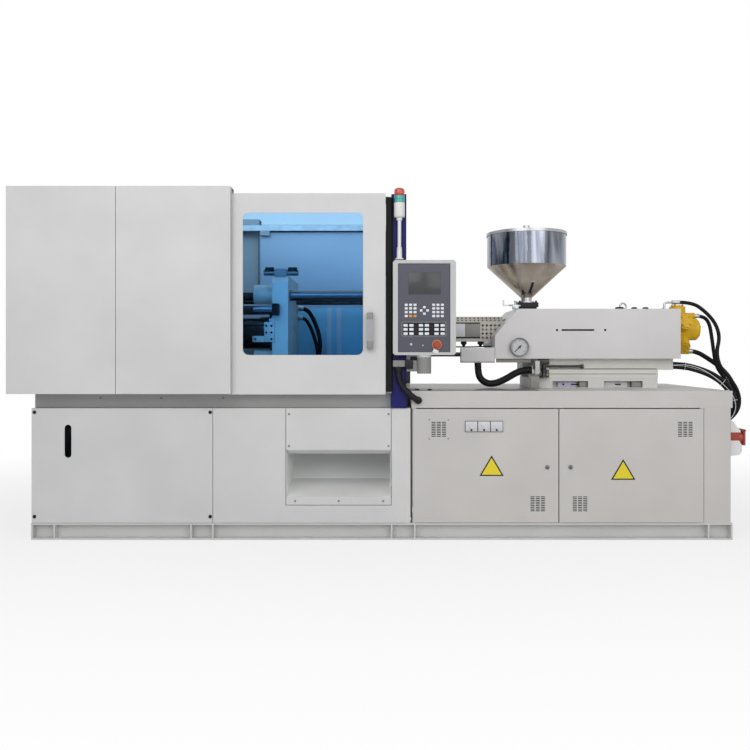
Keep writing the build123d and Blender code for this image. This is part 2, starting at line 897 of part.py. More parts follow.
frame_members = group(*frame_parts)

# Bed skirt and the rear and end panels of the clamp base
skirt_y = half_width - skirt_setback
skirt_left = base_left + gap
skirt_z = (deck_height, bed_height)
skirt_strips = [block((skirt_left, post_left_x - gap), both(skirt_y - sheet, skirt_y, side), skirt_z)
                for side in sides]
skirt_strips.append(block((skirt_left, skirt_left + sheet), around(0, skirt_y - sheet), skirt_z))
panel_z = (panel_bottom, deck_height - panel_top_gap)
rear_y = (half_width - panel_depth, half_width)
rear_left_panel = tray((base_left + gap, service_seam_x - gap / 2), rear_y, panel_z, sheet, "-y")
rear_right_panel = tray((service_seam_x + gap / 2, seam_x - gap), rear_y, panel_z, sheet, "-y")
end_y = half_width - panel_depth - gap
end_panel = tray((base_left, base_left + panel_depth), (-end_y, end_y), panel_z, sheet, "+x")
base_cover_panels = group(*skirt_strips, rear_left_panel, rear_right_panel, end_panel)

# Service panel with a hand slot
front_y = (-half_width, -half_width + panel_depth)
service_panel = tray((base_left + gap, service_seam_x - gap / 2), front_y, panel_z, sheet, "+y")
slot_face = Plane.XZ * SlotOverall(grip_slot_height, grip_slot_width, rotation=90)
slot_tool = Pos(grip_slot_x, 0, grip_slot_z) * extrude(slot_face, half_width + overrun)
service_panel -= slot_tool

# Panel round the discharge chute, its upper cover and the chute itself
flange_low = chute_lip - chute_flange
surround_x = (service_seam_x + gap / 2, seam_x - gap)
chute_surround_panel = tray(surround_x, front_y, panel_z, sheet, "+y")
notch_z = (flange_low - gap, deck_height + overrun)
chute_surround_panel -= block((chute_left_x - gap, chute_right_x + gap),
                              (-half_width - overrun, -half_width + panel_depth + overrun), notch_z)
chute_upper_cover = tray((chute_left_x, chute_right_x), front_y, (chute_top, deck_height - panel_top_gap), sheet, "+y")
base_front_panels = group(service_panel, chute_surround_panel, chute_upper_cover)
lip_y = -half_width
floor_back_y = lip_y + chute_floor_run
floor_back_z = chute_lip + chute_floor_rise
slope_outline = ((lip_y, flange_low), (lip_y, chute_lip), (floor_back_y, floor_back_z),
                 (chute_back_y, chute_back_height), (chute_back_y + sheet, chute_back_height - 2 * sheet),
                 (floor_back_y + sheet, floor_back_z - 2 * sheet), (lip_y + sheet, chute_lip - sheet),
                 (lip_y + sheet, flange_low))
chute_slope = prism_x(slope_outline, chute_left_x, chute_right_x)
wall_outline = ((lip_y, chute_lip), (lip_y, chute_top - gap), (floor_back_y, chute_top - gap),
                (chute_back_y, chute_back_height), (floor_back_y, floor_back_z))
chute_left_wall = prism_x(wall_outline, chute_left_x, chute_left_x + sheet)
chute_right_wall = prism_x(wall_outline, chute_right_x - sheet, chute_right_x)
seat_y = around(-(tube_inner + tube_outer) / 2, chute_seat_length / 2)
seat_z = around(chute_seat_z, chute_seat_height / 2)
chute_seats = block((clamp_posts_x[2] + frame_tube / 2, chute_left_x), seat_y, seat_z)
chute_seats += block((chute_right_x, clamp_posts_x[3] - frame_tube / 2), seat_y, seat_z)
discharge_chute = chute_slope + chute_left_wall + chute_right_wall + chute_seats

# Cabinet shell: end walls, back, front stiles, front shelf, mullion, hinge pins and hose glands
cabinet_z = (rail_height, deck_height)
door_z = (rail_height + gap, deck_height - 2 * gap)
cabinet_outer = block((cabinet_left_x, cabinet_right_x), (-half_width, half_width), cabinet_z)
cabinet_inner = block((cabinet_left_x + cabinet_wall, cabinet_right_x - cabinet_wall),
                      (-half_width + cabinet_wall, half_width - cabinet_wall),
                      (rail_height - overrun, deck_height + overrun))
cabinet_mouth = block((cabinet_left_x + cabinet_wall, cabinet_right_x - stile_width),
                      (-half_width - overrun, -half_width + 2 * cabinet_wall),
                      (rail_height - overrun, deck_height + overrun))
cabinet_shell = cabinet_outer - cabinet_inner - cabinet_mouth
stile_inner_x = cabinet_right_x - stile_width
cabinet_shell += block((stile_inner_x, stile_inner_x + cabinet_wall),
                       (-half_width, -half_width + stile_return), cabinet_z)
shelf_back_y = -table_beam_inner - frame_tube - gap
shelf_y = (-half_width + panel_depth + gap, shelf_back_y)
shelf_z = (rail_height, rail_height + cabinet_wall)
cabinet_shell += block((cabinet_left_x, cabinet_right_x - cabinet_wall), shelf_y, shelf_z)
mullion_front = -half_width + panel_depth + mullion_gap
mullion_y = (mullion_front, mullion_front + cabinet_wall)
cabinet_shell += block(around(door_seam_x, mullion_width / 2), mullion_y, cabinet_z)
hinge_y = -half_width + hinge_inset_y
left_hinge_x = door_left_edge + hinge_inset_x
right_hinge_x = door_right_edge - hinge_inset_x
hinge_low_z = (rail_height, rail_height + gap - slip)
hinge_high_z = (deck_height - 2 * gap + slip, deck_height)
for hinge_x, wall_x in ((left_hinge_x, cabinet_left_x), (right_hinge_x, stile_inner_x)):
    plate_x = (min(hinge_x - hinge_plate_reach / 2, wall_x), max(hinge_x + hinge_plate_reach / 2, wall_x))
    plate_y = (-half_width + cabinet_wall, -half_width + stile_return)
    for plate_z in (hinge_low_z, hinge_high_z):
        cabinet_shell += block(plate_x, plate_y, plate_z)
    pin_low = (rail_height, rail_height + gap + hinge_pin_reach)
    pin_high = (deck_height - 2 * gap - hinge_pin_reach, deck_height)
    cabinet_shell += rod_z(*pin_low, hinge_x, hinge_y, hinge_pin_radius)
    cabinet_shell += rod_z(*pin_high, hinge_x, hinge_y, hinge_pin_radius)
for route in (supply_route, return_route, drain_route, cable_route):
    gland_x = (cabinet_right_x - cabinet_wall, cabinet_right_x + wall_gland_length)
    cabinet_shell += rod_x(*gland_x, route[-1][1], route[-1][2], wall_gland_radius)

# Injection table: folded top with four deep flanges
table_x = (table_left_x, base_right)
injection_table = tray(table_x, (-half_width, half_width), (deck_height, bed_height), table_sheet, "-z")

# Electrical mounting plate with rows of devices and wire ducts
plate_front_y = -table_beam_inner - frame_tube - 2 * gap
plate_back_y = -table_beam_inner - frame_tube
plate_parts = [block((plate_left_x, plate_right_x), (plate_front_y, plate_back_y), (plate_bottom, plate_top))]
for count, row_z in zip(device_counts, device_row_heights):
    pitch = (plate_right_x - plate_left_x) / count
    for index in range(count):
        device_x = plate_left_x + pitch * (index + 0.5)
        device_y = (plate_front_y - device_depth, plate_front_y)
        device_z = (row_z, row_z + device_height)
        plate_parts.append(block(around(device_x, device_width / 2), device_y, device_z))
    duct_y = (plate_front_y - device_depth / 2, plate_front_y)
    duct_z = (row_z - 2 * wire_duct_height, row_z - wire_duct_height)
    plate_parts.append(block((plate_left_x + overrun, plate_right_x - overrun), duct_y, duct_z))
electrical_plate = group(*plate_parts)

# Hydraulic power unit: oil tank with pump and electric motor on its lid
tank_x = (tank_left_x, tank_left_x + tank_length)
tank_z = (rail_height, rail_height + tank_height)
tank = block(tank_x, around(0, tank_width / 2), tank_z)
tank = chamfer(tank.edges().filter_by(Axis.Z), overrun)
tank_top = rail_height + tank_height
pump_z = tank_top + pump_foot + pump_motor_radius
motor_x = (tank_left_x + panel_depth, tank_left_x + panel_depth + pump_motor_length)
pump_x = (motor_x[1], motor_x[1] + pump_length)
pump_set = rod_x(*motor_x, 0, pump_z, pump_motor_radius) + rod_x(*pump_x, 0, pump_z, pump_radius)
pump_set += block((motor_x[0] + overrun, motor_x[1] - overrun), around(0, pump_motor_radius * motor_foot_share),
                  (tank_top, pump_z))
hydraulic_power_unit = group(tank, pump_set)

# Clamp covers: two front, two rear and one end cover, all open at the top of the machine
hook_back_y = -(track_front - track_tube)
hook_z = (guide_top, cover_top)


def side_cover(x0, x1):
    shell = tray((x0, x1), (-guard_front, -guard_front + cover_return), (guard_bottom, cover_top), sheet, "+y")
    shell += block((x0, x1), (-guard_front + sheet, hook_back_y), (cover_top - sheet, cover_top))
    shell += block((x0, x1), (hook_back_y - sheet, hook_back_y), hook_z)
    return shell


front_left_cover = side_cover(guard_left, cover_seam_x - gap / 2)
front_right_cover = side_cover(cover_seam_x + gap / 2, cover_right_x)
end_cover_y = guard_front - cover_return
end_cover = tray((guard_left, guard_left + end_cover_depth), (-end_cover_y, end_cover_y),
                 (guard_bottom, cover_top - sheet), sheet, "+x")
clamp_covers = group(front_left_cover, front_right_cover, mirrored(front_left_cover),
                     mirrored(front_right_cover), end_cover)

# Guard posts at the fixed platen and the tracks that carry the doors
post_x = (post_left_x, post_left_x + post_width)
post_outer = track_front
post_inner = track_front - post_depth
guard_posts = group(*[tube(post_x, both(post_inner, post_outer, side), (deck_height, post_top), post_wall, "z")
                      for side in sides])
track_x = (guard_left + sheet, post_left_x)
guide_z = (guide_top - track_tube, guide_top)
track_z = (track_bottom, track_bottom + track_tube)
track_parts = []
for side in sides:
    track_parts.append(tube(track_x, both(track_front - track_tube, track_front, side), guide_z, track_wall, "x"))
    track_parts.append(tube(track_x, both(skirt_y, track_front, side), track_z, track_wall, "x"))
door_tracks = group(*track_parts)

# Sliding doors: folded panels on four glide blocks each
door_y = (-door_front, -door_front + door_depth)
door_x = (door_left_x, door_right_x)
door_blank = tray(door_x, door_y, (door_bottom, door_top), sheet, "+y")
window_middle = Pos((window_left_x + window_right_x) / 2, 0, (window_bottom + window_top) / 2)
window_face = Plane.XZ * RectangleRounded(window_right_x - window_left_x, window_top - window_bottom,
                                          window_corner)
window_tool = window_middle * extrude(window_face, door_front + overrun)
glide_back = -(track_front - track_tube)
low_glide_z = (track_bottom + track_tube + slip, track_bottom + track_tube + slip + glide_height)
high_glide_z = (guide_z[0] - slip - glide_height, guide_z[0] - slip)
glides = []
for x in (door_left_x + glide_inset, door_right_x - glide_inset):
    for glide_z in (low_glide_z, high_glide_z):
        glide_y = (-door_front + sheet, glide_back)
        glides.append(block(around(x, glide_length / 2), glide_y, glide_z))
front_door_panel = group(door_blank - window_tool, *glides)
front_door_handle = tray(around(handle_x, handle_width / 2), (-door_front - handle_standoff, -door_front),
                         around(handle_z, handle_height / 2), handle_bar, "+y")
handle_gap_y = (-door_front - handle_standoff + handle_bar, -door_front)
front_door_handle -= block(around(handle_x, handle_width), handle_gap_y,
                           around(handle_z, handle_height / 2 - handle_foot))
rear_door_panel = group(mirrored(door_blank), *[mirrored(glide) for glide in glides])
pane_x = (window_left_x - pane_lap, window_right_x + pane_lap)
pane_z = (window_bottom - pane_lap, window_top + pane_lap)
front_window = block(pane_x, (-door_front + sheet, -door_front + sheet + pane_thick), pane_z)


# Clamp unit: platens, tie bars, ram, ejector and side cylinders
def platen_blank(x0, x1):
    half = platen_half
    cut = platen_chamfer
    corners = ((-half + cut, -half), (half - cut, -half), (half, -half + cut), (half, half - cut),
               (half - cut, half), (-half + cut, half), (-half, half - cut), (-half, -half + cut))
    outline = [(y, axis_height + z) for y, z in corners]
    return prism_x(outline, x0, x1)


def platen_feet(x0, x1, low):
    feet = None
    for side in sides:
        foot_y = both(bed_beam_inner, bed_beam_inner + bed_beam_width - platen_chamfer, side)
        foot = block((x0, x1), foot_y, (low, platen_low + platen_chamfer / 2))
        feet = foot if feet is None else feet + foot
    return feet


def mould_bolts(x0, x1):
    tools = []
    for y in around(0, mould_bolt_y):
        for z in around(axis_height, mould_bolt_z):
            tools.append(rod_x(x0, x1, y, z, mould_bolt_radius))
    return tools


stationary_platen = platen_blank(fixed_face_x, fixed_back_x) + platen_feet(fixed_face_x, fixed_back_x, bed_height)
for y, z in tie_places:
    stationary_platen -= rod_x(fixed_face_x - overrun, fixed_back_x + overrun, y, z, tie_radius + slip)
stationary_platen -= rod_x(fixed_face_x - overrun, fixed_face_x + locating_depth, 0, axis_height, locating_radius)
stationary_platen -= rod_x(fixed_face_x, fixed_back_x + overrun, 0, axis_height, nozzle_hole_radius)
for tool in mould_bolts(fixed_face_x - overrun, fixed_face_x + mould_bolt_depth):
    stationary_platen -= tool

moving_back_x = moving_face_x - moving_thick
moving_platen = platen_blank(moving_back_x, moving_face_x)
moving_platen += platen_feet(moving_face_x - platen_foot_length, moving_face_x, bed_height + slip)
for y, z in tie_places:
    moving_platen += rod_x(moving_back_x - boss_length, moving_back_x, y, z, boss_radius)
for y, z in tie_places:
    bore_x = (moving_back_x - boss_length - overrun, moving_face_x + overrun)
    moving_platen -= rod_x(*bore_x, y, z, tie_radius + slip)
moving_platen -= rod_x(moving_back_x - overrun, moving_face_x + overrun, 0, axis_height, ejector_radius + slip)
moving_platen += block((moving_face_x - port_block_length, moving_face_x),
                       (platen_half, platen_half + port_block_depth),
                       around(platen_hose_route[0][2], port_block_height / 2))
for tool in mould_bolts(moving_face_x - mould_bolt_depth, moving_face_x + overrun):
    moving_platen -= tool

rear_back_x = rear_platen_x + rear_platen_thick
rear_platen = platen_blank(rear_platen_x, rear_back_x) + platen_feet(rear_platen_x, rear_back_x, bed_height)
rear_platen += rod_x(cylinder_left_x, cylinder_right_x, 0, axis_height, cylinder_radius)
rear_platen -= rod_x(cylinder_bottom_x, cylinder_right_x + overrun, 0, axis_height, ram_radius + slip)
for y, z in tie_places:
    rear_platen -= rod_x(rear_platen_x - overrun, rear_back_x + overrun, y, z, tie_radius + slip)
jack_z = axis_height + jack_offset_z
for side in sides:
    ear_y = both(platen_half - platen_chamfer, jack_y + jack_radius, side)
    rear_platen += block((rear_platen_x, rear_back_x), ear_y, around(jack_z, jack_radius))
jack_rods = [rod_x(rear_back_x, jack_rod_end_x, side * jack_y, jack_z, jack_rod_radius) for side in sides]
cylinder_platen = group(rear_platen, *jack_rods)

bars = []
for y, z in tie_places:
    bar = rod_x(rear_platen_x - tie_nut_length, fixed_back_x + tie_nut_length, y, z, tie_radius)
    bar += rod_x(rear_platen_x - tie_nut_length, rear_platen_x, y, z, tie_nut_radius)
    bar += rod_x(fixed_back_x, fixed_back_x + tie_nut_length, y, z, tie_nut_radius)
    bars.append(bar)
tie_bars = group(*bars)

ram = rod_x(ram_left_x, moving_back_x, 0, axis_height, ram_radius)
ram += rod_x(moving_back_x - ram_flange_thick, moving_back_x, 0, axis_height, ram_flange_radius)
ram -= rod_x(moving_back_x - ram_pocket_depth, moving_back_x + overrun, 0, axis_height, ram_pocket_radius)
jacks = []
for side in sides:
    jack = rod_x(jack_left_x, jack_right_x, side * jack_y, jack_z, jack_radius)
    cap_y = both(platen_half, jack_y + jack_radius + jack_stand, side)
    jack += block((jack_right_x - jack_cap, jack_right_x), cap_y, around(jack_z, jack_radius + jack_stand))
    jack -= rod_x(jack_left_x - overrun, jack_right_x - jack_bore_end, side * jack_y, jack_z,
                  jack_rod_radius + slip)
    jacks.append(jack)
clamp_ram = group(ram, *jacks)

ejector_left_x = moving_face_x - ejector_length
ejector_rod = rod_x(ejector_left_x, moving_face_x, 0, axis_height, ejector_radius)
ejector_rod += rod_x(ejector_left_x, ejector_left_x + ejector_head, 0, axis_height, ejector_head_radius)
ejector_rod = Pos(ejector_head - moving_thick / 2, 0, 0) * ejector_rod

valve_x = (moving_face_x + moving_back_x) / 2
valve_z = platen_low + 2 * platen_half
valve_body = block(around(valve_x, valve_block[0] / 2), around(valve_y, valve_block[1] / 2),
                   (valve_z, valve_z + valve_block[2]))
coils = rod_x(valve_x - valve_block[0] / 2 - valve_coil_length, valve_x + valve_block[0] / 2 + valve_coil_length,
              valve_y, valve_z + valve_coil_lift, valve_coil_radius)
solenoid_valve = valve_body + coils
plug_middle = valve_block[0] / 2 + valve_coil_length / 2
for side in sides:
    plug_low = valve_z + valve_coil_lift
    solenoid_valve += block(around(valve_x + side * plug_middle, valve_plug[0] / 2),
                            around(valve_y, valve_plug[1] / 2), (plug_low, plug_low + valve_plug[2]))

# Injection slide base with two ways and two front pockets
slide_base = block((slide_left_x, slide_right_x), around(0, slide_half), (bed_height, slide_top))
for pocket in slide_pockets:
    pocket_y = (-slide_half - overrun, -slide_half + slide_pocket_depth)
    pocket_z = (bed_height + slide_pocket_low, bed_height + slide_pocket_high)
    slide_base -= block(pocket, pocket_y, pocket_z)
for side in sides:
    way_y = both(slide_rail_inner, slide_rail_inner + slide_rail_width, side)
    slide_base += block((slide_left_x, slide_right_x), way_y, (slide_top, slide_top + slide_rail_height))
carriage_rods = group(*[rod_x(fixed_back_x, pull_rod_end_x, side * pull_rod_y, pull_rod_z, pull_rod_radius)
                        for side in sides])

# Carriage casting: saddle, body, feed block, injection cylinder block and pull cylinders
carriage_body = block((saddle_left_x, saddle_right_x), around(0, saddle_half), (slide_top + slip, body_bottom))
for side in sides:
    groove_y = both(slide_rail_inner - slip, slide_rail_inner + slide_rail_width + slip, side)
    carriage_body -= block((saddle_left_x - overrun, saddle_right_x + overrun), groove_y,
                           (slide_top - overrun, slide_top + slide_rail_height + slip))
carriage_body += block((body_left_x, body_right_x), around(0, body_half), (body_bottom, cover_bottom))
carriage_body += block((gland_plate_left_x, body_left_x), (gland_plate_front, gland_plate_back),
                       (gland_plate_bottom, gland_plate_top))
for side in sides:
    rod_y_range = around(side * pull_rod_y, pull_cylinder_radius)
    carriage_body += block((body_left_x, pull_cylinder_right_x), rod_y_range, (cover_bottom, pull_rod_z))
    carriage_body += rod_x(pull_cylinder_left_x, pull_cylinder_right_x, side * pull_rod_y, pull_rod_z,
                           pull_cylinder_radius)
    carriage_body -= rod_x(pull_cylinder_left_x - overrun, pull_bore_end_x, side * pull_rod_y, pull_rod_z,
                           pull_rod_radius + slip)
feed_block = block((feed_left_x, feed_right_x), around(0, feed_half), (cover_bottom, feed_top))
feed_block += block((feed_left_x, body_left_x), around(0, feed_half), (body_bottom, cover_bottom))
feed_block -= rod_x(feed_left_x - overrun, feed_right_x + overrun, 0, axis_height, screw_radius + slip)
feed_block -= rod_z(axis_height, feed_top + overrun, hopper_x, 0, throat_hole_radius)
cylinder_block = block((block_left_x, block_right_x), around(0, block_half), (cover_bottom, block_top))
cylinder_block -= rod_x(block_left_x - overrun, block_right_x + overrun, 0, axis_height, piston_nose_radius + slip)
cylinder_block -= rod_x(block_left_x + block_wall, block_right_x - block_wall, 0, axis_height, piston_radius + slip)
carriage_frame = group(carriage_body, feed_block, cylinder_block)

# Screw, piston, barrel and the perforated barrel guard
collar_right_x = piston_nose_x - slip
screw_profile = ((screw_tip_x, 0), (screw_tip_x + screw_tip_length, screw_radius), (feed_right_x, screw_radius),
                 (feed_right_x + collar_length, shank_radius), (collar_right_x - collar_length, shank_radius),
                 (collar_right_x - collar_length, collar_radius), (collar_right_x, collar_radius),
                 (collar_right_x, shank_radius), (shank_end_x, shank_radius), (shank_end_x, 0))
plasticizing_screw = turned_x(screw_profile, 0, axis_height)
piston_profile = ((piston_nose_x, shank_radius + slip), (piston_nose_x, piston_nose_radius),
                  (piston_left_x, piston_nose_radius), (piston_left_x, piston_radius),
                  (piston_left_x + piston_length, piston_radius),
                  (piston_left_x + piston_length, shank_radius + slip))
injection_piston = turned_x(piston_profile, 0, axis_height)
bore = screw_radius + slip
barrel_profile = [(nozzle_tip_x, orifice_radius), (nozzle_tip_x, nozzle_tip_radius),
                  (nozzle_tip_x + nozzle_cone, nozzle_radius), (barrel_head_x, nozzle_radius),
                  (barrel_head_x, barrel_head_radius), (barrel_head_x + barrel_head_length, barrel_head_radius),
                  (barrel_head_x + barrel_head_length, barrel_radius)]
for start in band_starts:
    barrel_profile += [(start, barrel_radius), (start, band_radius), (start + band_length, band_radius),
                       (start + band_length, barrel_radius)]
barrel_profile += [(barrel_flange_x, barrel_radius), (barrel_flange_x, barrel_flange_radius),
                   (feed_left_x, barrel_flange_radius), (feed_left_x, bore),
                   (screw_tip_x + screw_tip_length - slip, bore), (screw_tip_x - slip, orifice_radius)]
barrel = turned_x(barrel_profile, 0, axis_height)


def guard_outline(half, bevel):
    corners = ((-half, -half), (half, -half), (half, half - bevel), (half - bevel, half),
               (-half + bevel, half), (-half, half - bevel))
    return [(y, axis_height + z) for y, z in corners]


barrel_guard = prism_x(guard_outline(guard_half, guard_bevel), guard_left_x, guard_right_x)
barrel_guard -= prism_x(guard_outline(guard_half - guard_sheet, guard_bevel), guard_left_x - overrun,
                        guard_right_x + overrun)
guard_columns = int((guard_right_x - guard_left_x - guard_hole_pitch) / guard_hole_pitch)
hole_spots = []
for column in range(guard_columns):
    for row in range(guard_hole_rows):
        hole_x = guard_left_x + guard_hole_pitch * (column + 1)
        hole_z = axis_height - guard_half + guard_hole_pitch * (row + guard_row_share)
        hole_spots.append((hole_x, hole_z))
hole_face = Sketch() + [Pos(x, z) * RegularPolygon(guard_hole_radius, 6) for x, z in hole_spots]
hole_tool = Pos(0, -guard_half / 2, 0) * extrude(Plane.XZ * hole_face, guard_half)
barrel_guard -= hole_tool
for bracket_x in (band_starts[0] - guard_bracket, band_starts[-1] - guard_bracket):
    ring_face = Plane.YZ * (Rectangle(2 * (guard_half - guard_sheet), guard_bracket)
                            - Circle(barrel_radius + slip))
    ring = Pos(bracket_x, 0, axis_height) * extrude(ring_face, guard_bracket)
    barrel_guard += ring

# Unit cover: folded shell with a sloped nose, top throat hole, front slot and gauge hole
nose_outline = ((unit_left_x, cover_bottom), (unit_right_x, cover_bottom), (unit_right_x, unit_top),
                (unit_slope_x, unit_top), (unit_left_x, unit_slope_z))
core_outline = ((unit_left_x + sheet, cover_bottom + sheet), (unit_right_x + overrun, cover_bottom + sheet),
                (unit_right_x + overrun, unit_top - sheet), (unit_slope_x + sheet, unit_top - sheet),
                (unit_left_x + sheet, unit_slope_z - sheet))
unit_cover = prism_y(nose_outline, -unit_half, unit_half)
unit_cover -= prism_y(core_outline, -unit_half + sheet, unit_half - sheet)
unit_cover -= block((unit_floor_x, unit_right_x + overrun), around(0, unit_half - unit_lip),
                    (cover_bottom - overrun, cover_bottom + overrun))
guard_window = guard_half + gap
unit_cover -= block((unit_left_x - overrun, guard_right_x + overrun), around(0, guard_window),
                    around(axis_height, guard_window))
throat_window = throat_half + gap
unit_cover -= block(around(hopper_x, throat_window), around(0, throat_window),
                    (unit_top - overrun, unit_top + overrun))
for side in sides:
    unit_cover -= rod_x(unit_left_x - overrun, unit_left_x + overrun, side * pull_rod_y, pull_rod_z,
                        pull_rod_radius + gap)
cut_y = (-unit_half - overrun, -unit_half + overrun)
unit_cover -= block(cover_slot_x, cut_y, around(cover_slot_z, cover_slot_height / 2))
for x in cover_dots_x:
    unit_cover -= block(around(x, cover_dot_radius), cut_y, around(cover_slot_z, cover_dot_radius))
terminal_box = block((terminal_left_x, unit_left_x), (terminal_front, terminal_back), (terminal_bottom, terminal_top))
terminal_box = chamfer(terminal_box.edges().filter_by(Axis.X), terminal_chamfer)

# Pressure gauge with a sunk dial and a turning pointer
gauge_front = -unit_half - gauge_depth
pressure_gauge = rod_y(gauge_front, -unit_half, gauge_x, gauge_z, gauge_radius)
pressure_gauge -= rod_y(gauge_front - overrun, gauge_front + gauge_dial_depth, gauge_x, gauge_z, gauge_dial_radius)
dial_y = gauge_front + gauge_dial_depth
pressure_gauge += rod_y(dial_y - gauge_pin_length, dial_y, gauge_x, gauge_z, gauge_pin_radius)
pointer_outline = ((-pointer_width / 2, -pointer_tail), (pointer_width / 2, -pointer_tail),
                   (pointer_width / 4, pointer_length), (-pointer_width / 4, pointer_length))
pointer_face = make_face(Polyline(*pointer_outline, close=True)) + Circle(pointer_hub_radius)
pointer_face -= Circle(gauge_pin_radius + slip)
pointer_blade = extrude(Plane.XZ * (Rot(0, 0, -pointer_rest_angle) * pointer_face), pointer_thick)
gauge_pointer = Pos(gauge_x, dial_y - pointer_lift + pointer_thick, gauge_z) * pointer_blade

# Hopper, lid, throat block and shut-off gate
wall = hopper_sheet
flange_low_z = gate_house_top
flange_high_z = gate_house_top + hopper_flange_thick
hopper_profile = ((neck_radius - wall, flange_low_z), (hopper_flange_radius, flange_low_z),
                  (hopper_flange_radius, flange_high_z), (neck_radius, flange_high_z), (neck_radius, neck_top),
                  (hopper_radius, hopper_shoulder), (hopper_radius, hopper_top), (hopper_radius - wall, hopper_top),
                  (hopper_radius - wall, hopper_shoulder + wall), (neck_radius - wall, neck_top + wall))
hopper = turned_z(hopper_profile, hopper_x, 0)
lid_profile = ((0, hopper_top), (lid_rim_radius - lid_rim_sheet, hopper_top),
               (lid_rim_radius - lid_rim_sheet, hopper_top - lid_rim_height),
               (lid_rim_radius, hopper_top - lid_rim_height), (lid_rim_radius, hopper_top + lid_rim_sheet),
               (lid_flat_radius, hopper_top + lid_rise), (lid_knob_radius, hopper_top + lid_rise),
               (lid_knob_radius, hopper_top + lid_rise + lid_knob_height),
               (0, hopper_top + lid_rise + lid_knob_height))
hopper_lid = turned_z(lid_profile, hopper_x, 0)
throat_block = block(around(hopper_x, throat_half), around(0, throat_half), (feed_top, gate_house_bottom))
throat_block += block(around(hopper_x, gate_house_half), around(0, gate_house_half),
                      (gate_house_bottom, gate_house_top))
throat_block -= rod_z(feed_top - overrun, gate_house_top + overrun, hopper_x, 0, throat_hole_radius)
gate_slot_x = (hopper_x - gate_house_half - overrun, gate_right_x + slip)
throat_block -= block(gate_slot_x, around(0, gate_half + slip), (gate_bottom - slip, gate_bottom + gate_thick + slip))
hopper_gate = block((gate_left_x, gate_right_x), around(0, gate_half), (gate_bottom, gate_bottom + gate_thick))
hopper_gate += block((gate_handle_left_x, gate_left_x), around(0, gate_handle_width / 2),
                     (gate_bottom, gate_bottom + gate_thick))
hopper_gate += block((gate_handle_left_x, gate_handle_left_x + gate_tab_thick), around(0, gate_handle_width / 2),
                     (gate_bottom, gate_bottom + gate_tab_height))

# Radial piston motor: five-lobed casing, end distributor and hose ports
screw_motor = rod_x(motor_star_x, motor_end_x, 0, axis_height, motor_core_radius)
screw_motor += rod_x(block_right_x, motor_star_x, 0, axis_height, motor_flange_radius)
distributor = rod_x(motor_end_x, motor_end_x + motor_end_length, 0, axis_height, motor_end_radius)
screw_motor += chamfer(distributor.edges().sort_by(Axis.X)[-1], motor_end_chamfer)
lobe = rod_z(0, motor_lobe_reach, 0, 0, motor_lobe_radius)
lobe += rod_z(motor_lobe_reach, motor_lobe_reach + motor_cap_thick, 0, 0, motor_lobe_radius * motor_cap_share)
for index in range(motor_lobes):
    lobe_turn = Rot(360 * index / motor_lobes, 0, 0)
    screw_motor += Pos((motor_star_x + motor_end_x) / 2, 0, axis_height) * lobe_turn * lobe
screw_motor -= rod_x(block_right_x - overrun, motor_bore_end_x, 0, axis_height, shank_radius + slip)
for port_route in (return_route, drain_route):
    port_x = (motor_end_x - 2 * overrun, port_route[0][0])
    screw_motor += rod_x(*port_x, port_route[0][1], port_route[0][2], port_radius)

# Control panel on its swivel arm, with a membrane face and a stop button
panel_housing = block((panel_left_x, panel_right_x), (-panel_front, -panel_back), (panel_low, panel_high))
panel_housing = chamfer(panel_housing.edges().filter_by(Axis.Y), panel_corner)
panel_housing -= block((panel_left_x + panel_wall, panel_right_x - panel_wall),
                       (-panel_front + face_recess + face_thick, -panel_back - panel_wall),
                       (panel_low + panel_corner, panel_high - panel_corner))
panel_housing -= block((face_left_x, face_right_x), (-panel_front - overrun, -panel_front + face_recess + face_thick),
                       (face_low, face_high))
panel_housing += rod_z(panel_low - pivot_flange, panel_low, panel_pivot_x, panel_pivot_y, pivot_flange_radius)
panel_housing += rod_z(panel_low - pivot_length, panel_low, panel_pivot_x, panel_pivot_y, pivot_radius)
face_y = (-panel_front + face_recess, -panel_front + face_recess + face_thick)
panel_face = block((face_left_x, face_right_x), face_y, (face_low, face_high))
panel_face -= block((screen_left_x, screen_right_x), (face_y[0] - overrun, face_y[0] + screen_recess),
                    (screen_low, screen_high))
key_spots = [(x, z, key_size) for x in key_columns + right_key_columns for z in key_rows]
key_spots += [(x, z, lower_key_size) for x in lower_columns for z in lower_rows]
arrow_steps = ((0, 1), (0, -1), (1, 0), (-1, 0))
key_spots += [(arrow_centre[0] + arrow_step * step[0], arrow_centre[1] + arrow_step * step[1], arrow_size)
              for step in arrow_steps]
key_y = (face_y[0] - key_rise, face_y[0])
keys = [block(around(x, size[0] / 2), key_y, around(z, size[1] / 2)) for x, z, size in key_spots]
panel_face = panel_face + keys
panel_face += rod_y(face_y[0] - key_rise, face_y[0], stop_x, stop_z, stop_ring_radius)
panel_face -= rod_y(face_y[0] - overrun, face_y[1] + overrun, stop_x, stop_z, stop_stem_radius + slip)
stop_back = face_y[0] - stop_stand
e_stop_button = rod_y(stop_back - stop_head, stop_back, stop_x, stop_z, stop_radius)
e_stop_button = chamfer(e_stop_button.edges().group_by(Axis.Y)[0], stop_chamfer)
e_stop_button += rod_y(stop_back, stop_back + stop_stem_length, stop_x, stop_z, stop_stem_radius)
bearing_top = panel_low - pivot_flange - slip
bearing = rod_z(bearing_bottom, bearing_top, panel_pivot_x, panel_pivot_y, bearing_radius)
bearing += block((post_left_x + post_width, panel_pivot_x), (panel_pivot_y, -arm_back), (arm_bottom, arm_top))
pivot_hole = (panel_low - pivot_length - slip, bearing_top + overrun)
bearing -= rod_z(*pivot_hole, panel_pivot_x, panel_pivot_y, pivot_radius + slip)
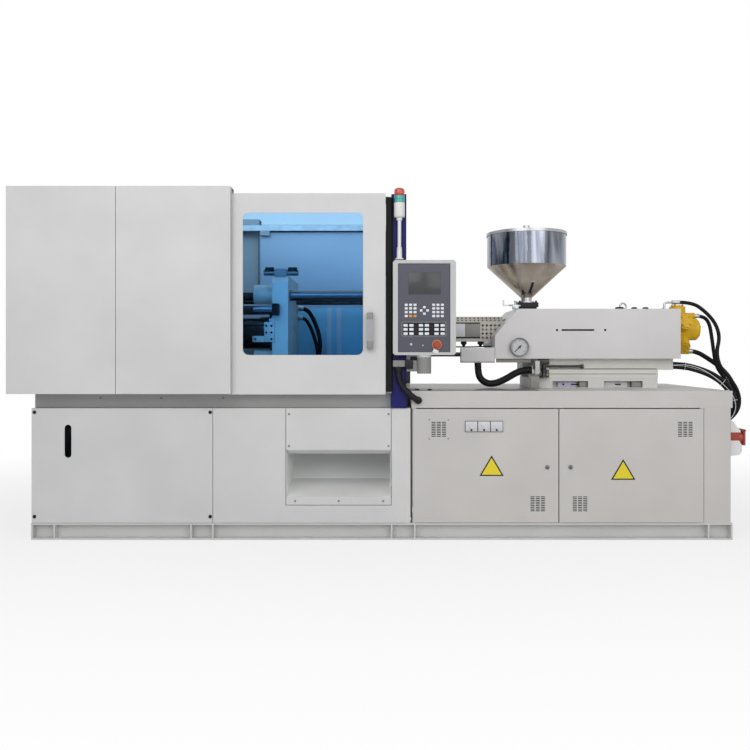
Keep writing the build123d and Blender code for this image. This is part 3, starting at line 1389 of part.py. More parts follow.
gland_block = block((post_left_x + gland_block_inset, post_left_x + post_width - gland_block_inset),
                    (-track_front - gland_block_depth, -track_front), (gland_block_low, gland_block_high))
panel_bracket = group(bearing, gland_block)

# Signal beacon on a foot at the guard post
foot_y = (beacon_y - beacon_foot_half, -track_front)
foot_x = (beacon_x - beacon_foot_half, beacon_x + beacon_foot_half)
beacon_stem = block(foot_x, foot_y, (beacon_foot_low, beacon_foot_low + beacon_foot_thick))
beacon_stem += rod_z(beacon_foot_low, beacon_socket_high, beacon_x, beacon_y, beacon_socket_radius)
beacon_stem += rod_z(beacon_socket_high, beacon_neck_low, beacon_x, beacon_y, beacon_pole_radius)
beacon_stem += rod_z(beacon_neck_low, beacon_body_low, beacon_x, beacon_y, beacon_neck_radius)
beacon_stem += rod_z(beacon_body_low, beacon_green_low, beacon_x, beacon_y, beacon_radius)
green_lens = rod_z(beacon_green_low, beacon_red_low, beacon_x, beacon_y, beacon_radius)
red_lens = rod_z(beacon_red_low, beacon_top, beacon_x, beacon_y, beacon_radius)
red_lens = chamfer(red_lens.edges().group_by(Axis.Z)[-1], beacon_crown)
beacon = group(beacon_stem, green_lens, red_lens)


# Cabinet doors with vents, meter cut-out, hinge eyes and lock holes
def vent_tool(centre_x, centre_z):
    column_pitch = vent_size / vent_columns
    row_pitch = vent_size / vent_rows
    tools = []
    for column in range(vent_columns):
        for row in range(vent_rows):
            x = centre_x + column_pitch * (column - (vent_columns - 1) / 2)
            z = centre_z + row_pitch * (row - (vent_rows - 1) / 2)
            slit = Rectangle(column_pitch * vent_slot_share, row_pitch * vent_slit_share)
            tools.append(Pos(x, z) * slit)
    slits = Plane.XZ * (Sketch() + tools)
    return Pos(0, -half_width + overrun / 2, 0) * extrude(slits, overrun)


def cabinet_door(x0, x1, vents, hinge_x, lock_x):
    door = tray((x0, x1), (-half_width, -half_width + panel_depth), door_z, door_sheet, "+y")
    for vent in vents:
        door -= vent_tool(*vent)
    door -= rod_z(door_z[0] - overrun, door_z[1] + overrun, hinge_x, hinge_y, hinge_pin_radius + slip)
    door -= rod_y(-half_width - overrun, -half_width + overrun / 2, lock_x, lock_z, lock_stem_radius + slip)
    return door


def cabinet_lock(lock_x):
    tongue_y = mullion_front + cabinet_wall + slip
    lock = rod_y(-half_width - lock_front, -half_width - slip, lock_x, lock_z, lock_radius)
    lock += rod_y(-half_width - slip, tongue_y + lock_tongue_thick, lock_x, lock_z, lock_stem_radius)
    lock += block(around(lock_x, lock_tongue_width / 2), (tongue_y, tongue_y + lock_tongue_thick),
                  (lock_z - lock_tongue_length, lock_z))
    return lock


left_lock_x = door_seam_x - lock_offset_x
right_lock_x = door_seam_x + lock_offset_x
cabinet_door_left = cabinet_door(door_left_edge, door_seam_x - gap, left_vents, left_hinge_x, left_lock_x)
cabinet_door_right = cabinet_door(door_seam_x + gap, door_right_edge, right_vents, right_hinge_x, right_lock_x)
lock_left = cabinet_lock(left_lock_x)
lock_right = cabinet_lock(right_lock_x)
meter_z = (meter_bottom, meter_bottom + meter_height)
meters = []
for index in range(meter_count):
    meter_x = meter_left_x + meter_width * index
    meter_y = (-half_width - meter_front, -half_width)
    meter = block((meter_x, meter_x + meter_width), meter_y, meter_z)
    meter += block((meter_x + gap, meter_x + meter_width - gap), (-half_width, -half_width + meter_back),
                   (meter_z[0] + gap, meter_z[1] - gap))
    meters.append(meter)
door_meters = group(*meters)
cut_x = (meter_left_x + gap, meter_left_x + meter_width - gap)
for index in range(meter_count):
    shift = meter_width * index
    cabinet_door_left -= block((cut_x[0] + shift, cut_x[1] + shift), (-half_width - overrun, -half_width + overrun),
                               (meter_z[0] + gap, meter_z[1] - gap))

# Black seal strips that close the doors against the guard posts
seal_x = (door_right_x + seal_gap, post_left_x)
seals = []
for side in sides:
    seal_y = both(track_front, track_front + seal_depth, side)
    seal_flap = block(seal_x, seal_y, (seal_bottom, seal_top))
    foot_x = (post_left_x, post_left_x + gland_block_inset)
    foot_y = both(track_front, track_front + seal_foot, side)
    seals.append(seal_flap + block(foot_x, foot_y, (seal_bottom, seal_top)))
door_seals = group(*seals)

# Power socket with a spring flap over its plug hole
socket_right_x = cabinet_right_x + socket_depth
nose_right_x = socket_right_x + socket_nose_reach
socket_housing = block((cabinet_right_x, socket_right_x), around(socket_y, socket_half), (socket_low, socket_high))
socket_housing = chamfer(socket_housing.edges().filter_by(Axis.X), socket_chamfer)
nose_z = (socket_nose_low, socket_nose_high)
socket_housing += block((socket_right_x, nose_right_x), around(socket_y, flap_half), nose_z)
nose_middle_z = (socket_nose_low + socket_nose_high) / 2
socket_housing -= rod_x(nose_right_x - socket_cavity_depth, nose_right_x + overrun, socket_y, nose_middle_z,
                        socket_cavity_radius)
flap_pin_x = nose_right_x + slip + flap_thick / 2
flap_pin_z = socket_nose_high + flap_eye_radius
for side in sides:
    ear_y = (socket_y + side * flap_half - flap_ear / 2, socket_y + side * flap_half + flap_ear / 2)
    socket_housing += block((socket_right_x, flap_pin_x + flap_eye_radius), ear_y,
                            (socket_nose_high - flap_ear, flap_pin_z + flap_eye_radius))
flap_inner = flap_half - flap_ear / 2 - slip
socket_housing += rod_y(socket_y - flap_half, socket_y + flap_half, flap_pin_x, flap_pin_z, flap_pin_radius)
socket_lid = block((nose_right_x + slip, nose_right_x + slip + flap_thick), around(socket_y, flap_inner),
                   (socket_nose_low, flap_pin_z))
socket_lid += rod_y(socket_y - flap_inner, socket_y + flap_inner, flap_pin_x, flap_pin_z, flap_eye_radius)
socket_lid -= rod_y(socket_y - flap_half, socket_y + flap_half, flap_pin_x, flap_pin_z, flap_pin_radius + slip)


# Hoses and cables: straight runs joined by tangent arcs
def hose(name, route, diameter):
    points = [Vector(*point) for point in route]
    radii = []
    for before, here, after in zip(points, points[1:], points[2:]):
        run_in = here - before
        run_out = after - here
        half_turn = math.radians(run_in.get_angle(run_out)) / 2
        radii.append(run_share * min(run_in.length, run_out.length) / math.tan(half_turn))
    path = FilletPolyline(*points, radius=radii)
    start = Plane(origin=path @ 0, z_dir=path % 0)
    body = sweep(start * Circle(diameter / 2), path=path)
    wanted = math.pi * diameter ** 2 / 4 * path.length
    print(name, "smallest radius", round(min(radii)), "volume share", round(body.volume / wanted, 4))
    return body


hose_supply = hose("hose_supply", supply_route, supply_diameter)
hose_return = hose("hose_return", return_route, return_diameter)
hose_drain = hose("hose_drain", drain_route, drain_diameter)
lower_cable = hose("lower_cable", cable_route, cable_diameter)
panel_conduit = hose("panel_conduit", conduit_route, conduit_diameter)
unit_conduit = hose("unit_conduit", unit_conduit_route, unit_conduit_diameter)
platen_hose = hose("platen_hose", platen_hose_route, platen_hose_diameter)
supply_pipe = rod_z(unit_top, supply_z + pipe_radius, pipe_foot_x, supply_y, pipe_radius)
supply_pipe += rod_x(pipe_foot_x, supply_x, supply_y, supply_z, pipe_radius)

pieces = {
    "bottom_rails": bottom_rails, "frame_members": frame_members, "base_cover_panels": base_cover_panels,
    "base_front_panels": base_front_panels, "door_seals": door_seals, "discharge_chute": discharge_chute,
    "cabinet_shell": cabinet_shell,
    "injection_table": injection_table, "electrical_plate": electrical_plate,
    "hydraulic_power_unit": hydraulic_power_unit, "clamp_covers": clamp_covers, "guard_posts": guard_posts,
    "door_tracks": door_tracks, "stationary_platen": stationary_platen, "cylinder_platen": cylinder_platen,
    "tie_bars": tie_bars, "slide_base": slide_base, "carriage_rods": carriage_rods, "beacon": beacon,
    "panel_bracket": panel_bracket, "socket_housing": socket_housing, "front_door_panel": front_door_panel,
    "front_window": front_window, "front_door_handle": front_door_handle, "rear_door_panel": rear_door_panel,
    "moving_platen": moving_platen, "clamp_ram": clamp_ram, "solenoid_valve": solenoid_valve,
    "ejector_rod": ejector_rod, "carriage_frame": carriage_frame, "unit_cover": unit_cover,
    "terminal_box": terminal_box, "barrel": barrel, "barrel_guard": barrel_guard, "hopper": hopper,
    "hopper_lid": hopper_lid, "throat_block": throat_block, "hopper_gate": hopper_gate,
    "pressure_gauge": pressure_gauge, "gauge_pointer": gauge_pointer, "screw_motor": screw_motor,
    "injection_piston": injection_piston, "plasticizing_screw": plasticizing_screw,
    "cabinet_door_left": cabinet_door_left, "cabinet_door_right": cabinet_door_right, "door_meters": door_meters,
    "lock_left": lock_left, "lock_right": lock_right, "panel_housing": panel_housing, "panel_face": panel_face,
    "e_stop_button": e_stop_button, "socket_lid": socket_lid, "supply_pipe": supply_pipe,
    "hose_supply": hose_supply, "hose_return": hose_return, "hose_drain": hose_drain, "lower_cable": lower_cable,
    "panel_conduit": panel_conduit, "unit_conduit": unit_conduit, "platen_hose": platen_hose,
}

os.makedirs("parts", exist_ok=True)
for name, piece in pieces.items():
    export_step(piece, "parts/" + name + ".step")
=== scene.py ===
import bmesh
import bpy
from math import cos, pi, radians, sin
from mathutils import Matrix, Vector


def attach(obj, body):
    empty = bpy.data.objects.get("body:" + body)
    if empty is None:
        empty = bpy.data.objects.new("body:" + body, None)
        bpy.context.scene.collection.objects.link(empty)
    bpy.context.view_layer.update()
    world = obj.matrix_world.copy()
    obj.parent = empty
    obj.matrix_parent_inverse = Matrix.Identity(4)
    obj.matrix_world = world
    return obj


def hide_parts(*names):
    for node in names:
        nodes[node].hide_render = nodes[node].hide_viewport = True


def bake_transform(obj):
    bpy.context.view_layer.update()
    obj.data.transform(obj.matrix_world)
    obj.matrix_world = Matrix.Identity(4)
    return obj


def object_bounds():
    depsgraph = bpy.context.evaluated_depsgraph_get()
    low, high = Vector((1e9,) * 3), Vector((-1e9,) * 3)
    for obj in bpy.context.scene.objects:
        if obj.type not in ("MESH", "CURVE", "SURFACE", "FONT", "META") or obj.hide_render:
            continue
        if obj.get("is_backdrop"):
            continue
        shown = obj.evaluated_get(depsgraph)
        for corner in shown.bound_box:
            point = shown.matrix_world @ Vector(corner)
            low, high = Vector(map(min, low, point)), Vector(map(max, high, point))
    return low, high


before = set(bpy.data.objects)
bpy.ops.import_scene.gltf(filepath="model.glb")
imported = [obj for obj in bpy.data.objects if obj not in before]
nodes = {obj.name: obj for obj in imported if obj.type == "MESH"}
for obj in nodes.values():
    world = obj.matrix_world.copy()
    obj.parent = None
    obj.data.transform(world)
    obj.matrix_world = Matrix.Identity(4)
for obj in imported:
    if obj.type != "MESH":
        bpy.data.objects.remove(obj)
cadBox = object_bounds()
scene = bpy.context.scene
scene.view_settings.view_transform = "Standard"
print("stage 1: frame loaded,", len(nodes), "nodes")

out = Vector((0, -1, 0))  # towards the operator
up = Vector((0, 0, 1))
right = Vector((1, 0, 0))
fourSigns = ((-1, -1), (-1, 1), (1, -1), (1, 1))


def linear(tint, factor=1):
    # photo colours are display values, shaders want linear ones
    def one(value):
        value = value / 255
        return value / 12.92 if value <= 0.04045 else ((value + 0.055) / 1.055) ** 2.4
    return (*[min(1, factor * one(value)) for value in tint], 1)


# Shader tools
def addNode(tree, kind, sockets=None, **settings):
    node = tree.nodes.new("ShaderNode" + kind)
    for key, value in settings.items():
        setattr(node, key, value)
    for key, value in (sockets or {}).items():
        node.inputs[key].default_value = value
    return node


def feed(output, node, socket):
    node.id_data.links.new(output, node.inputs[socket])


def startMaterial(name, sockets):
    material = bpy.data.materials.new(name)
    material.use_nodes = True
    shader = material.node_tree.nodes["Principled BSDF"]
    for key, value in sockets.items():
        shader.inputs[key].default_value = value
    return material, material.node_tree, shader


def objectNoise(tree, scale, detail=3, stretch=(1, 1, 1), warp=0.0):
    mapping = addNode(tree, "Mapping", {"Scale": stretch})
    noise = addNode(tree, "TexNoise", {"Scale": scale, "Detail": detail, "Distortion": warp})
    feed(addNode(tree, "TexCoord").outputs["Object"], mapping, "Vector")
    feed(mapping.outputs["Vector"], noise, "Vector")
    return noise.outputs["Fac"]


def ranged(tree, value, low, high, least=0.3, most=0.7):
    node = addNode(tree, "MapRange", {"From Min": least, "From Max": most, "To Min": low, "To Max": high})
    feed(value, node, "Value")
    return node.outputs["Result"]


def twoTone(tree, value, first, second, stops=(0.32, 0.68)):
    ramp = addNode(tree, "ValToRGB")
    for stop, position, colour in zip(ramp.color_ramp.elements, stops, (first, second)):
        stop.position = position
        stop.color = colour
    feed(value, ramp, "Fac")
    return ramp.outputs["Color"]


def surface(name, tint, rough, metal=0.0, drift=0.04, patch=2.5, grain=600, bump=0.04, stretch=(1, 1, 1),
            edge=0.0, coat=0.0, spread=0.06, specular=0.5, coatRough=0.12, grainDepth=0.0002, edgeSamples=4):
    # one finish: slow colour drift, fine grain in bump and roughness, softened edges
    sockets = {"Metallic": metal, "Specular IOR Level": specular}
    if coat:
        sockets.update({"Coat Weight": coat, "Coat Roughness": coatRough})
    material, tree, shader = startMaterial(name, sockets)
    tone = twoTone(tree, objectNoise(tree, patch), linear(tint, 1 - drift), linear(tint, 1 + drift))
    feed(tone, shader, "Base Color")
    fine = objectNoise(tree, grain, detail=4, stretch=stretch)
    feed(ranged(tree, fine, rough - spread, rough + spread), shader, "Roughness")
    relief = addNode(tree, "Bump", {"Strength": bump, "Distance": grainDepth})
    feed(fine, relief, "Height")
    if edge:
        rounded = addNode(tree, "Bevel", {"Radius": edge}, samples=edgeSamples)
        feed(rounded.outputs["Normal"], relief, "Normal")
    feed(relief.outputs["Normal"], shader, "Normal")
    return material


def clearSheet(name, tint, rough=0.02, ior=1.05, haze=0.02, patch=3):
    material, tree, shader = startMaterial(name, {"Roughness": rough, "Transmission Weight": 1, "IOR": ior})
    tone = twoTone(tree, objectNoise(tree, patch), linear(tint, 1 - haze), linear(tint, 1 + haze))
    feed(tone, shader, "Base Color")
    return material


def reflectionStreakSteel(name, dark, pale, rough, reflectionStreaks, warp, bandStretch=(1, 1, 0.1), grain=60,
                grainStretch=(1, 1, 8), below=0.04, above=0.06, dents=12, dentStretch=(1, 1, 0.3),
                dentDepth=0.004, bump=0.25):
    # polished sheet: upright wavy bands of dark and pale painted into the colour as reflection streaks, with
    # slow dents in the sheet
    material, tree, shader = startMaterial(name, {"Metallic": 1})
    bands = objectNoise(tree, reflectionStreaks, stretch=bandStretch, warp=warp)
    feed(twoTone(tree, bands, linear(dark), linear(pale)), shader, "Base Color")
    fine = objectNoise(tree, grain, stretch=grainStretch)
    feed(ranged(tree, fine, rough - below, rough + above), shader, "Roughness")
    relief = addNode(tree, "Bump", {"Strength": bump, "Distance": dentDepth})
    feed(objectNoise(tree, dents, detail=2, stretch=dentStretch, warp=warp), relief, "Height")
    feed(relief.outputs["Normal"], shader, "Normal")
    return material


# Paints: display colour, roughness, other settings
surfaces = {
    "coverPaint": ((206, 206, 206), 0.42, dict(edge=0.002)),
    "basePaint": ((204, 204, 204), 0.42, dict(edge=0.002)),
    # painted light: the inside of the chute is a paler copy of the base paint, standing in for light falling
    # into it
    "chutePaint": ((246, 246, 243), 0.4, dict(edge=0.002)),
    "cabinetPaint": ((194, 191, 189), 0.45, dict(edge=0.002, grain=420, bump=0.08)),
    "unitPaint": ((203, 201, 201), 0.38, dict(edge=0.002)),
    # painted shade: the skirt under the cover overhang is a darker copy of the base paint
    "skirtPaint": ((168, 168, 167), 0.5, dict(edge=0.002)),
    "shadePaint": ((138, 136, 132), 0.5, dict(edge=0.001)),
    "railPaint": ((202, 202, 201), 0.5, dict(edge=0.002)),
    "framePaint": ((132, 132, 130), 0.5, dict(edge=0.002)),
    "navyPaint": ((20, 18, 92), 0.45, dict(edge=0.002, specular=0.25)),
    "yellowPaint": ((216, 172, 0), 0.42, dict(drift=0.1, edge=0.003, coat=0.15, specular=0.3)),
    "darkPaint": ((32, 32, 34), 0.5, dict(edge=0.002, specular=0.25)),
    "platenIron": ((206, 206, 200), 0.45, dict(metal=0.1, drift=0.08, grain=240, bump=0.12, edge=0.002)),
    "slideIron": ((206, 205, 202), 0.5, dict(metal=0.05, drift=0.05, grain=160, bump=0.15, edge=0.002)),
    "machinedSteel": ((168, 168, 170), 0.3, dict(metal=1, grain=300, stretch=(1, 12, 12), bump=0.06)),
    "zincSteel": ((176, 180, 184), 0.38, dict(metal=1, drift=0.1, patch=30, grain=400, bump=0.05)),
    "guardSheet": ((180, 176, 167), 0.45, dict(metal=0.2, drift=0.05, grain=300, bump=0.06)),
    "tableSheet": ((120, 119, 119), 0.35, dict(metal=0.4, drift=0.12, patch=6)),
    "tieSteel": ((104, 108, 116), 0.16, dict(metal=1, drift=0.03, spread=0.03, bump=0.01)),
    "lockSteel": ((118, 119, 121), 0.34, dict(metal=0.8, drift=0.05)),
    "darkRod": ((52, 51, 48), 0.3, dict(metal=0.4, drift=0.08)),
    "blackRubber": ((20, 20, 21), 0.75, dict(specular=0.2, drift=0.15, grain=500, bump=0.12)),
    "hoseRubber": ((15, 15, 17), 0.6, dict(drift=0.12, grain=350, bump=0.15, specular=0.2)),
    "blackPlastic": ((18, 18, 20), 0.5, dict(specular=0.25, drift=0.1, grain=800, bump=0.06)),
    "greyPlastic": ((188, 190, 190), 0.4, dict(drift=0.02, grain=900, bump=0.08, edge=0.0015)),
    "handleGrey": ((158, 158, 162), 0.3, dict(metal=0.3, drift=0.03, grain=900, edge=0.0015)),
    "slatePlastic": ((72, 73, 85), 0.4, dict(drift=0.03, grain=900, bump=0.05)),
    "whitePlastic": ((222, 222, 221), 0.32, dict(drift=0.02, grain=900, edge=0.0015)),
    "keyWhite": ((222, 226, 232), 0.35, dict(drift=0.02, grain=900)),
    "keyOrange": ((214, 152, 66), 0.35, dict(drift=0.03, grain=900)),
    "ringOrange": ((206, 116, 58), 0.4, dict(grain=700)),
    "redPlastic": ((160, 62, 46), 0.3, dict(drift=0.05, grain=700, bump=0.05, edge=0.0015)),
    "redLens": ((186, 60, 52), 0.2, dict(drift=0.06, grain=300, coat=0.5)),
    "greenLens": ((36, 158, 150), 0.2, dict(drift=0.06, grain=300, coat=0.5)),
    "screenGlass": ((70, 72, 74), 0.2, dict(drift=0.08, patch=9, grain=900, bump=0.01, specular=0.3)),
    "dialPale": ((206, 207, 211), 0.4, dict(drift=0.02, grain=900)),
    # painted light: the bright blue and pale of the rear panes stand in for light shining through the rear
    # door
    "rearBlue": ((148, 218, 255), 0.4, dict(drift=0.05)),
    "rearPale": ((212, 228, 246), 0.35, dict(patch=1.2)),
    "lilacPlate": ((190, 186, 206), 0.35, dict(drift=0.03)),
    "labelYellow": ((224, 204, 34), 0.4, dict(drift=0.02, grain=900)),
}
# painted reflections: the dark and pale bands of drum and cone stand in for the streaks that the sheet
# mirrors
hopperSteels = {
    "drumSteel": dict(dark=(70, 75, 84), pale=(152, 156, 168), rough=0.12, reflectionStreaks=7.0, warp=2.2),
    "coneSteel": dict(dark=(176, 166, 150), pale=(252, 244, 232), rough=0.2, reflectionStreaks=5.0, warp=0.8),
}
paints = {name: surface(name, tint, rough, **more) for name, (tint, rough, more) in surfaces.items()}
paints.update({name: reflectionStreakSteel(name, **values) for name, values in hopperSteels.items()})
paints["paneBlue"] = clearSheet("paneBlue", (158, 208, 247))
print("stage 2: materials ready,", len(paints))

# Finish of each CAD piece
finishes = {
    "coverPaint": "clamp_covers front_door_panel rear_door_panel",
    "basePaint": "base_front_panels",
    "cabinetPaint": "cabinet_shell injection_table cabinet_door_left cabinet_door_right",
    "unitPaint": "unit_cover terminal_box",
    "railPaint": "bottom_rails",
    "framePaint": "frame_members hydraulic_power_unit panel_bracket",
    "navyPaint": "guard_posts",
    "platenIron": "stationary_platen cylinder_platen moving_platen carriage_frame",
    "slideIron": "slide_base",
    "machinedSteel": "barrel hopper_gate injection_piston plasticizing_screw supply_pipe hopper_lid",
    "zincSteel": "door_tracks electrical_plate",
    "guardSheet": "barrel_guard",
    "tieSteel": "tie_bars ejector_rod",
    "lockSteel": "pressure_gauge lock_left lock_right",
    "darkRod": "carriage_rods",
    "blackRubber": "door_seals",
    "hoseRubber": "hose_supply hose_return hose_drain lower_cable platen_hose",
    "blackPlastic": "gauge_pointer panel_conduit unit_conduit",
    "greyPlastic": "panel_housing",
    "slatePlastic": "panel_face door_meters",
    "whitePlastic": "beacon",
    "redPlastic": "e_stop_button socket_lid",
    "yellowPaint": "screw_motor",
    "darkPaint": "throat_block",
    "paneBlue": "front_window",
}


def paintFaces(name, finish, choose=lambda at: 0):
    # choose gives the number of the paint for a face, by the face's middle
    piece = nodes[name]
    piece.data.materials.clear()
    for paint in finish.split():
        piece.data.materials.append(paints[paint])
    for polygon in piece.data.polygons:
        polygon.material_index = choose(piece.matrix_world @ polygon.center)


def nodeBox(name):
    corners = [nodes[name].matrix_world @ Vector(corner) for corner in nodes[name].bound_box]
    return [[pick(corner[axis] for corner in corners) for axis in range(3)] for pick in (min, max)]


bpy.context.view_layer.update()
for finish, names in finishes.items():
    for name in names.split():
        paintFaces(name, finish)
bands = {
    "shoulder": 1.697, "neck": 1.492, "skirtLow": 0.8, "skirtFront": -0.505, "ramEnd": -0.7,
    "jackSide": 0.3, "gripLow": 1.172, "gripHigh": 1.335, "chuteFront": -0.545, "plugs": 0.032,
    "coilEnds": 0.1035,
}
paintFaces("hopper", "drumSteel coneSteel machinedSteel",
           lambda at: int(at.z <= bands["shoulder"]) + int(at.z <= bands["neck"]))
# skirt faces under the cover overhang take the painted shade
paintFaces("base_cover_panels", "basePaint skirtPaint",
           lambda at: int(at.z > bands["skirtLow"] and at.y > bands["skirtFront"]))
paintFaces("clamp_ram", "tieSteel blackPlastic",
           lambda at: int(at.x > bands["ramEnd"] and abs(at.y) > bands["jackSide"]))
paintFaces("front_door_handle", "handleGrey shadePaint",
           lambda at: int(not bands["gripLow"] < at.z < bands["gripHigh"]))
# faces inside the chute take the paler paint, painted light
paintFaces("discharge_chute", "basePaint chutePaint", lambda at: int(at.y > bands["chuteFront"]))
valveLow, valveHigh = nodeBox("solenoid_valve")
plugLow = valveLow[2] + bands["plugs"]
valveMiddle = (valveLow[0] + valveHigh[0]) / 2
paintFaces("solenoid_valve", "lockSteel blackPlastic",
           lambda at: int(at.z > plugLow or abs(at.x - valveMiddle) > bands["coilEnds"]))
print("stage 3: CAD pieces finished")


# Mesh tools: each piece is gathered in the draft, and addPiece empties it
draft = bmesh.new()


def addPiece(name, finish, body, slotName, *replaced, sharpAngle=38):
    bmesh.ops.recalc_face_normals(draft, faces=draft.faces)
    mesh = bpy.data.meshes.new(name)
    draft.to_mesh(mesh)
    draft.clear()
    for paint in finish.split():
        mesh.materials.append(paints[paint])
    for polygon in mesh.polygons:
        polygon.use_smooth = True
    mesh.set_sharp_from_angle(angle=radians(sharpAngle))
    piece = bpy.data.objects.new(name, mesh)
    scene.collection.objects.link(piece)
    if body:
        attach(piece, body)
    if replaced:
        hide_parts(*replaced)
    return piece


def turns(count, extra=0):
    return [2 * pi * step / count for step in range(count + extra)]


def scaled(profile, radius):
    return [(radius * wide, height) for wide, height in profile]


def addLathe(profile, point, direction, segments=20, tone=0, ends=True):
    # profile: (radius, height) pairs along direction, first at the root
    placed = Matrix.Translation(point) @ Vector(direction).to_track_quat("Z", "Y").to_matrix().to_4x4()
    rings = []
    for radius, height in profile:
        spots = [(radius * cos(a), radius * sin(a)) for a in turns(segments if radius > 0 else 1)]
        rings.append([draft.verts.new(placed @ Vector((x, y, height))) for x, y in spots])
    for low, high in zip(rings, rings[1:]):
        for index in range(segments):
            after = (index + 1) % segments
            corners = dict.fromkeys((low[index % len(low)], low[after % len(low)], high[after % len(high)],
                                     high[index % len(high)]))
            if len(corners) > 2:
                draft.faces.new(list(corners)).material_index = tone
    for ring in (rings[0], rings[-1]):
        if ends and len(ring) > 1:
            draft.faces.new(ring).material_index = tone


def addSlab(low, high, soften=0.001, tone=0, segments=2, turn=Matrix.Identity(4), limit=0.45):
    low, high = Vector(low), Vector(high)
    size = high - low
    placed = turn @ Matrix.Translation((low + high) / 2) @ Matrix.Diagonal((*size, 1))
    verts = bmesh.ops.create_cube(draft, size=1, matrix=placed)["verts"]
    for face in {face for vert in verts for face in vert.link_faces}:
        face.material_index = tone
    offset = min(soften, limit * min(size))
    if offset > 0:
        edges = list(dict.fromkeys(edge for vert in verts for edge in vert.link_edges))
        bmesh.ops.bevel(draft, geom=edges, offset=offset, segments=segments, affect="EDGES", profile=0.5,
                        material=tone)


def addPlate(left, far, low, high, front, shape, tone=0):
    # shape: how far it stands out of an upright face, how far it reaches into it, and its rounding
    proud, sunk, soften = shape
    addSlab((left, front - proud, low), (far, front + sunk, high), soften, tone)


def addPrism(outline, shift, tone=0):
    low = [draft.verts.new(Vector(point)) for point in outline]
    high = [draft.verts.new(Vector(point) + Vector(shift)) for point in outline]
    faces = [draft.faces.new(low), draft.faces.new(high)]
    for index in range(len(low)):
        after = (index + 1) % len(low)
        faces.append(draft.faces.new((low[index], low[after], high[after], high[index])))
    for face in faces:
        face.material_index = tone


screwHead = ((1, 0.6), (0.75, 1), (0.4, 1), (0.35, 0.5), (0, 0.5))  # shares of radius and height


def addScrew(point, direction, radius, height, tone=0, root=0.001, segments=14):
    profile = [(radius, -root)] + [(radius * wide, height * high) for wide, high in screwHead]
    addLathe(profile, point, direction, segments, tone)


def addTube(points, radius, segments=14, ribs=0, ribDepth=0.05):
    # skin along a line, with a frame carried from point to point; ribs is their pitch
    points = [Vector(point) for point in points]
    last = len(points) - 1
    tangents = [(points[min(i + 1, last)] - points[max(i - 1, 0)]).normalized() for i in range(last + 1)]
    side = tangents[0].orthogonal().normalized()
    rings = []
    travelled = 0
    for index, (point, tangent) in enumerate(zip(points, tangents)):
        if index:
            travelled += (point - points[index - 1]).length
        side = (side - tangent * side.dot(tangent)).normalized()
        other = tangent.cross(side)
        dip = ribDepth * (1 - sin(2 * pi * travelled / ribs)) if ribs else 0
        wide = radius * (1 - dip)
        rings.append([draft.verts.new(point + wide * (side * cos(a) + other * sin(a)))
                      for a in turns(segments)])
    for low, high in zip(rings, rings[1:]):
        for k in range(segments):
            after = (k + 1) % segments
            draft.faces.new((low[k], low[after], high[after], high[k]))
    for ring in (rings[0], rings[-1]):
        draft.faces.new(ring)
    return travelled


def splineLine(route, fineness=14):
    # points of the smooth line that a hose takes through its route
    curve = bpy.data.curves.new("line", "CURVE")
    curve.dimensions = "3D"
    curve.resolution_u = fineness
    spline = curve.splines.new("NURBS")
    spline.points.add(len(route) - 1)
    for point, place in zip(spline.points, route):
        point.co = (*place, 1)
    spline.order_u = 3
    spline.use_endpoint_u = True
    spline.resolution_u = fineness
    holder = bpy.data.objects.new("line", curve)
    scene.collection.objects.link(holder)
    bpy.context.view_layer.update()
    mesh = bpy.data.meshes.new_from_object(holder)
    points = [vert.co.copy() for vert in mesh.vertices]
    bpy.data.objects.remove(holder)
    bpy.data.curves.remove(curve)
    bpy.data.meshes.remove(mesh)
    return points


# Camera at the photo's place: level, 5.25 m in front of the middle, a little above the bed
view = {"place": (-0.041, -5.25, 1.128), "lens": 37.58, "sensor": 36, "shift": -0.0307}
camera = bpy.data.objects.new("camera", bpy.data.cameras.new("camera"))
camera.data.sensor_width = view["sensor"]
camera.data.lens = view["lens"]
camera.data.shift_y = view["shift"]
camera.location = view["place"]
camera.rotation_euler = (pi / 2, 0, 0)
scene.collection.objects.link(camera)
scene.camera = camera

# Studio: pale floor that fades into a white surround, three soft lamps
studio = {
    "floorSize": 30, "white": (1, 1, 1, 1), "ambient": 0.42, "shadowShape": (0.45, 1, 1),
    "floor": {"Base Color": (0.86, 0.86, 0.86, 1), "Roughness": 0.9, "Specular IOR Level": 0.1},
    "fade": {"From Min": 0.6, "From Max": 4.0, "To Min": 0.7, "To Max": 1},
    "lamps": [  # name, place, aim, size, watts
        ("keyLamp", (-2.2, -6.4, 4.6), (0, 0, 0.8), 4.8, 176),
        ("fillLamp", (3.2, -6.0, 3.2), (0.4, 0, 0.8), 4.4, 102),
        ("topLamp", (0, 0.6, 5.2), (0, 0, 1.0), 5.0, 24),
    ],
}
world = bpy.data.worlds.new("studioWorld")
scene.world = world
world.use_nodes = True
tree = world.node_tree
rays = addNode(tree, "LightPath").outputs
direct = addNode(tree, "Math", operation="MAXIMUM")
seen = addNode(tree, "Math", operation="MAXIMUM")
strength = addNode(tree, "MapRange", {"To Min": studio["ambient"], "To Max": 1})
backdrop = tree.nodes["Background"]
backdrop.inputs["Color"].default_value = studio["white"]
feed(rays["Is Camera Ray"], direct, 0)
feed(rays["Is Glossy Ray"], direct, 1)
feed(direct.outputs[0], seen, 0)
feed(rays["Is Transmission Ray"], seen, 1)
feed(seen.outputs[0], strength, "Value")
feed(strength.outputs["Result"], backdrop, "Strength")

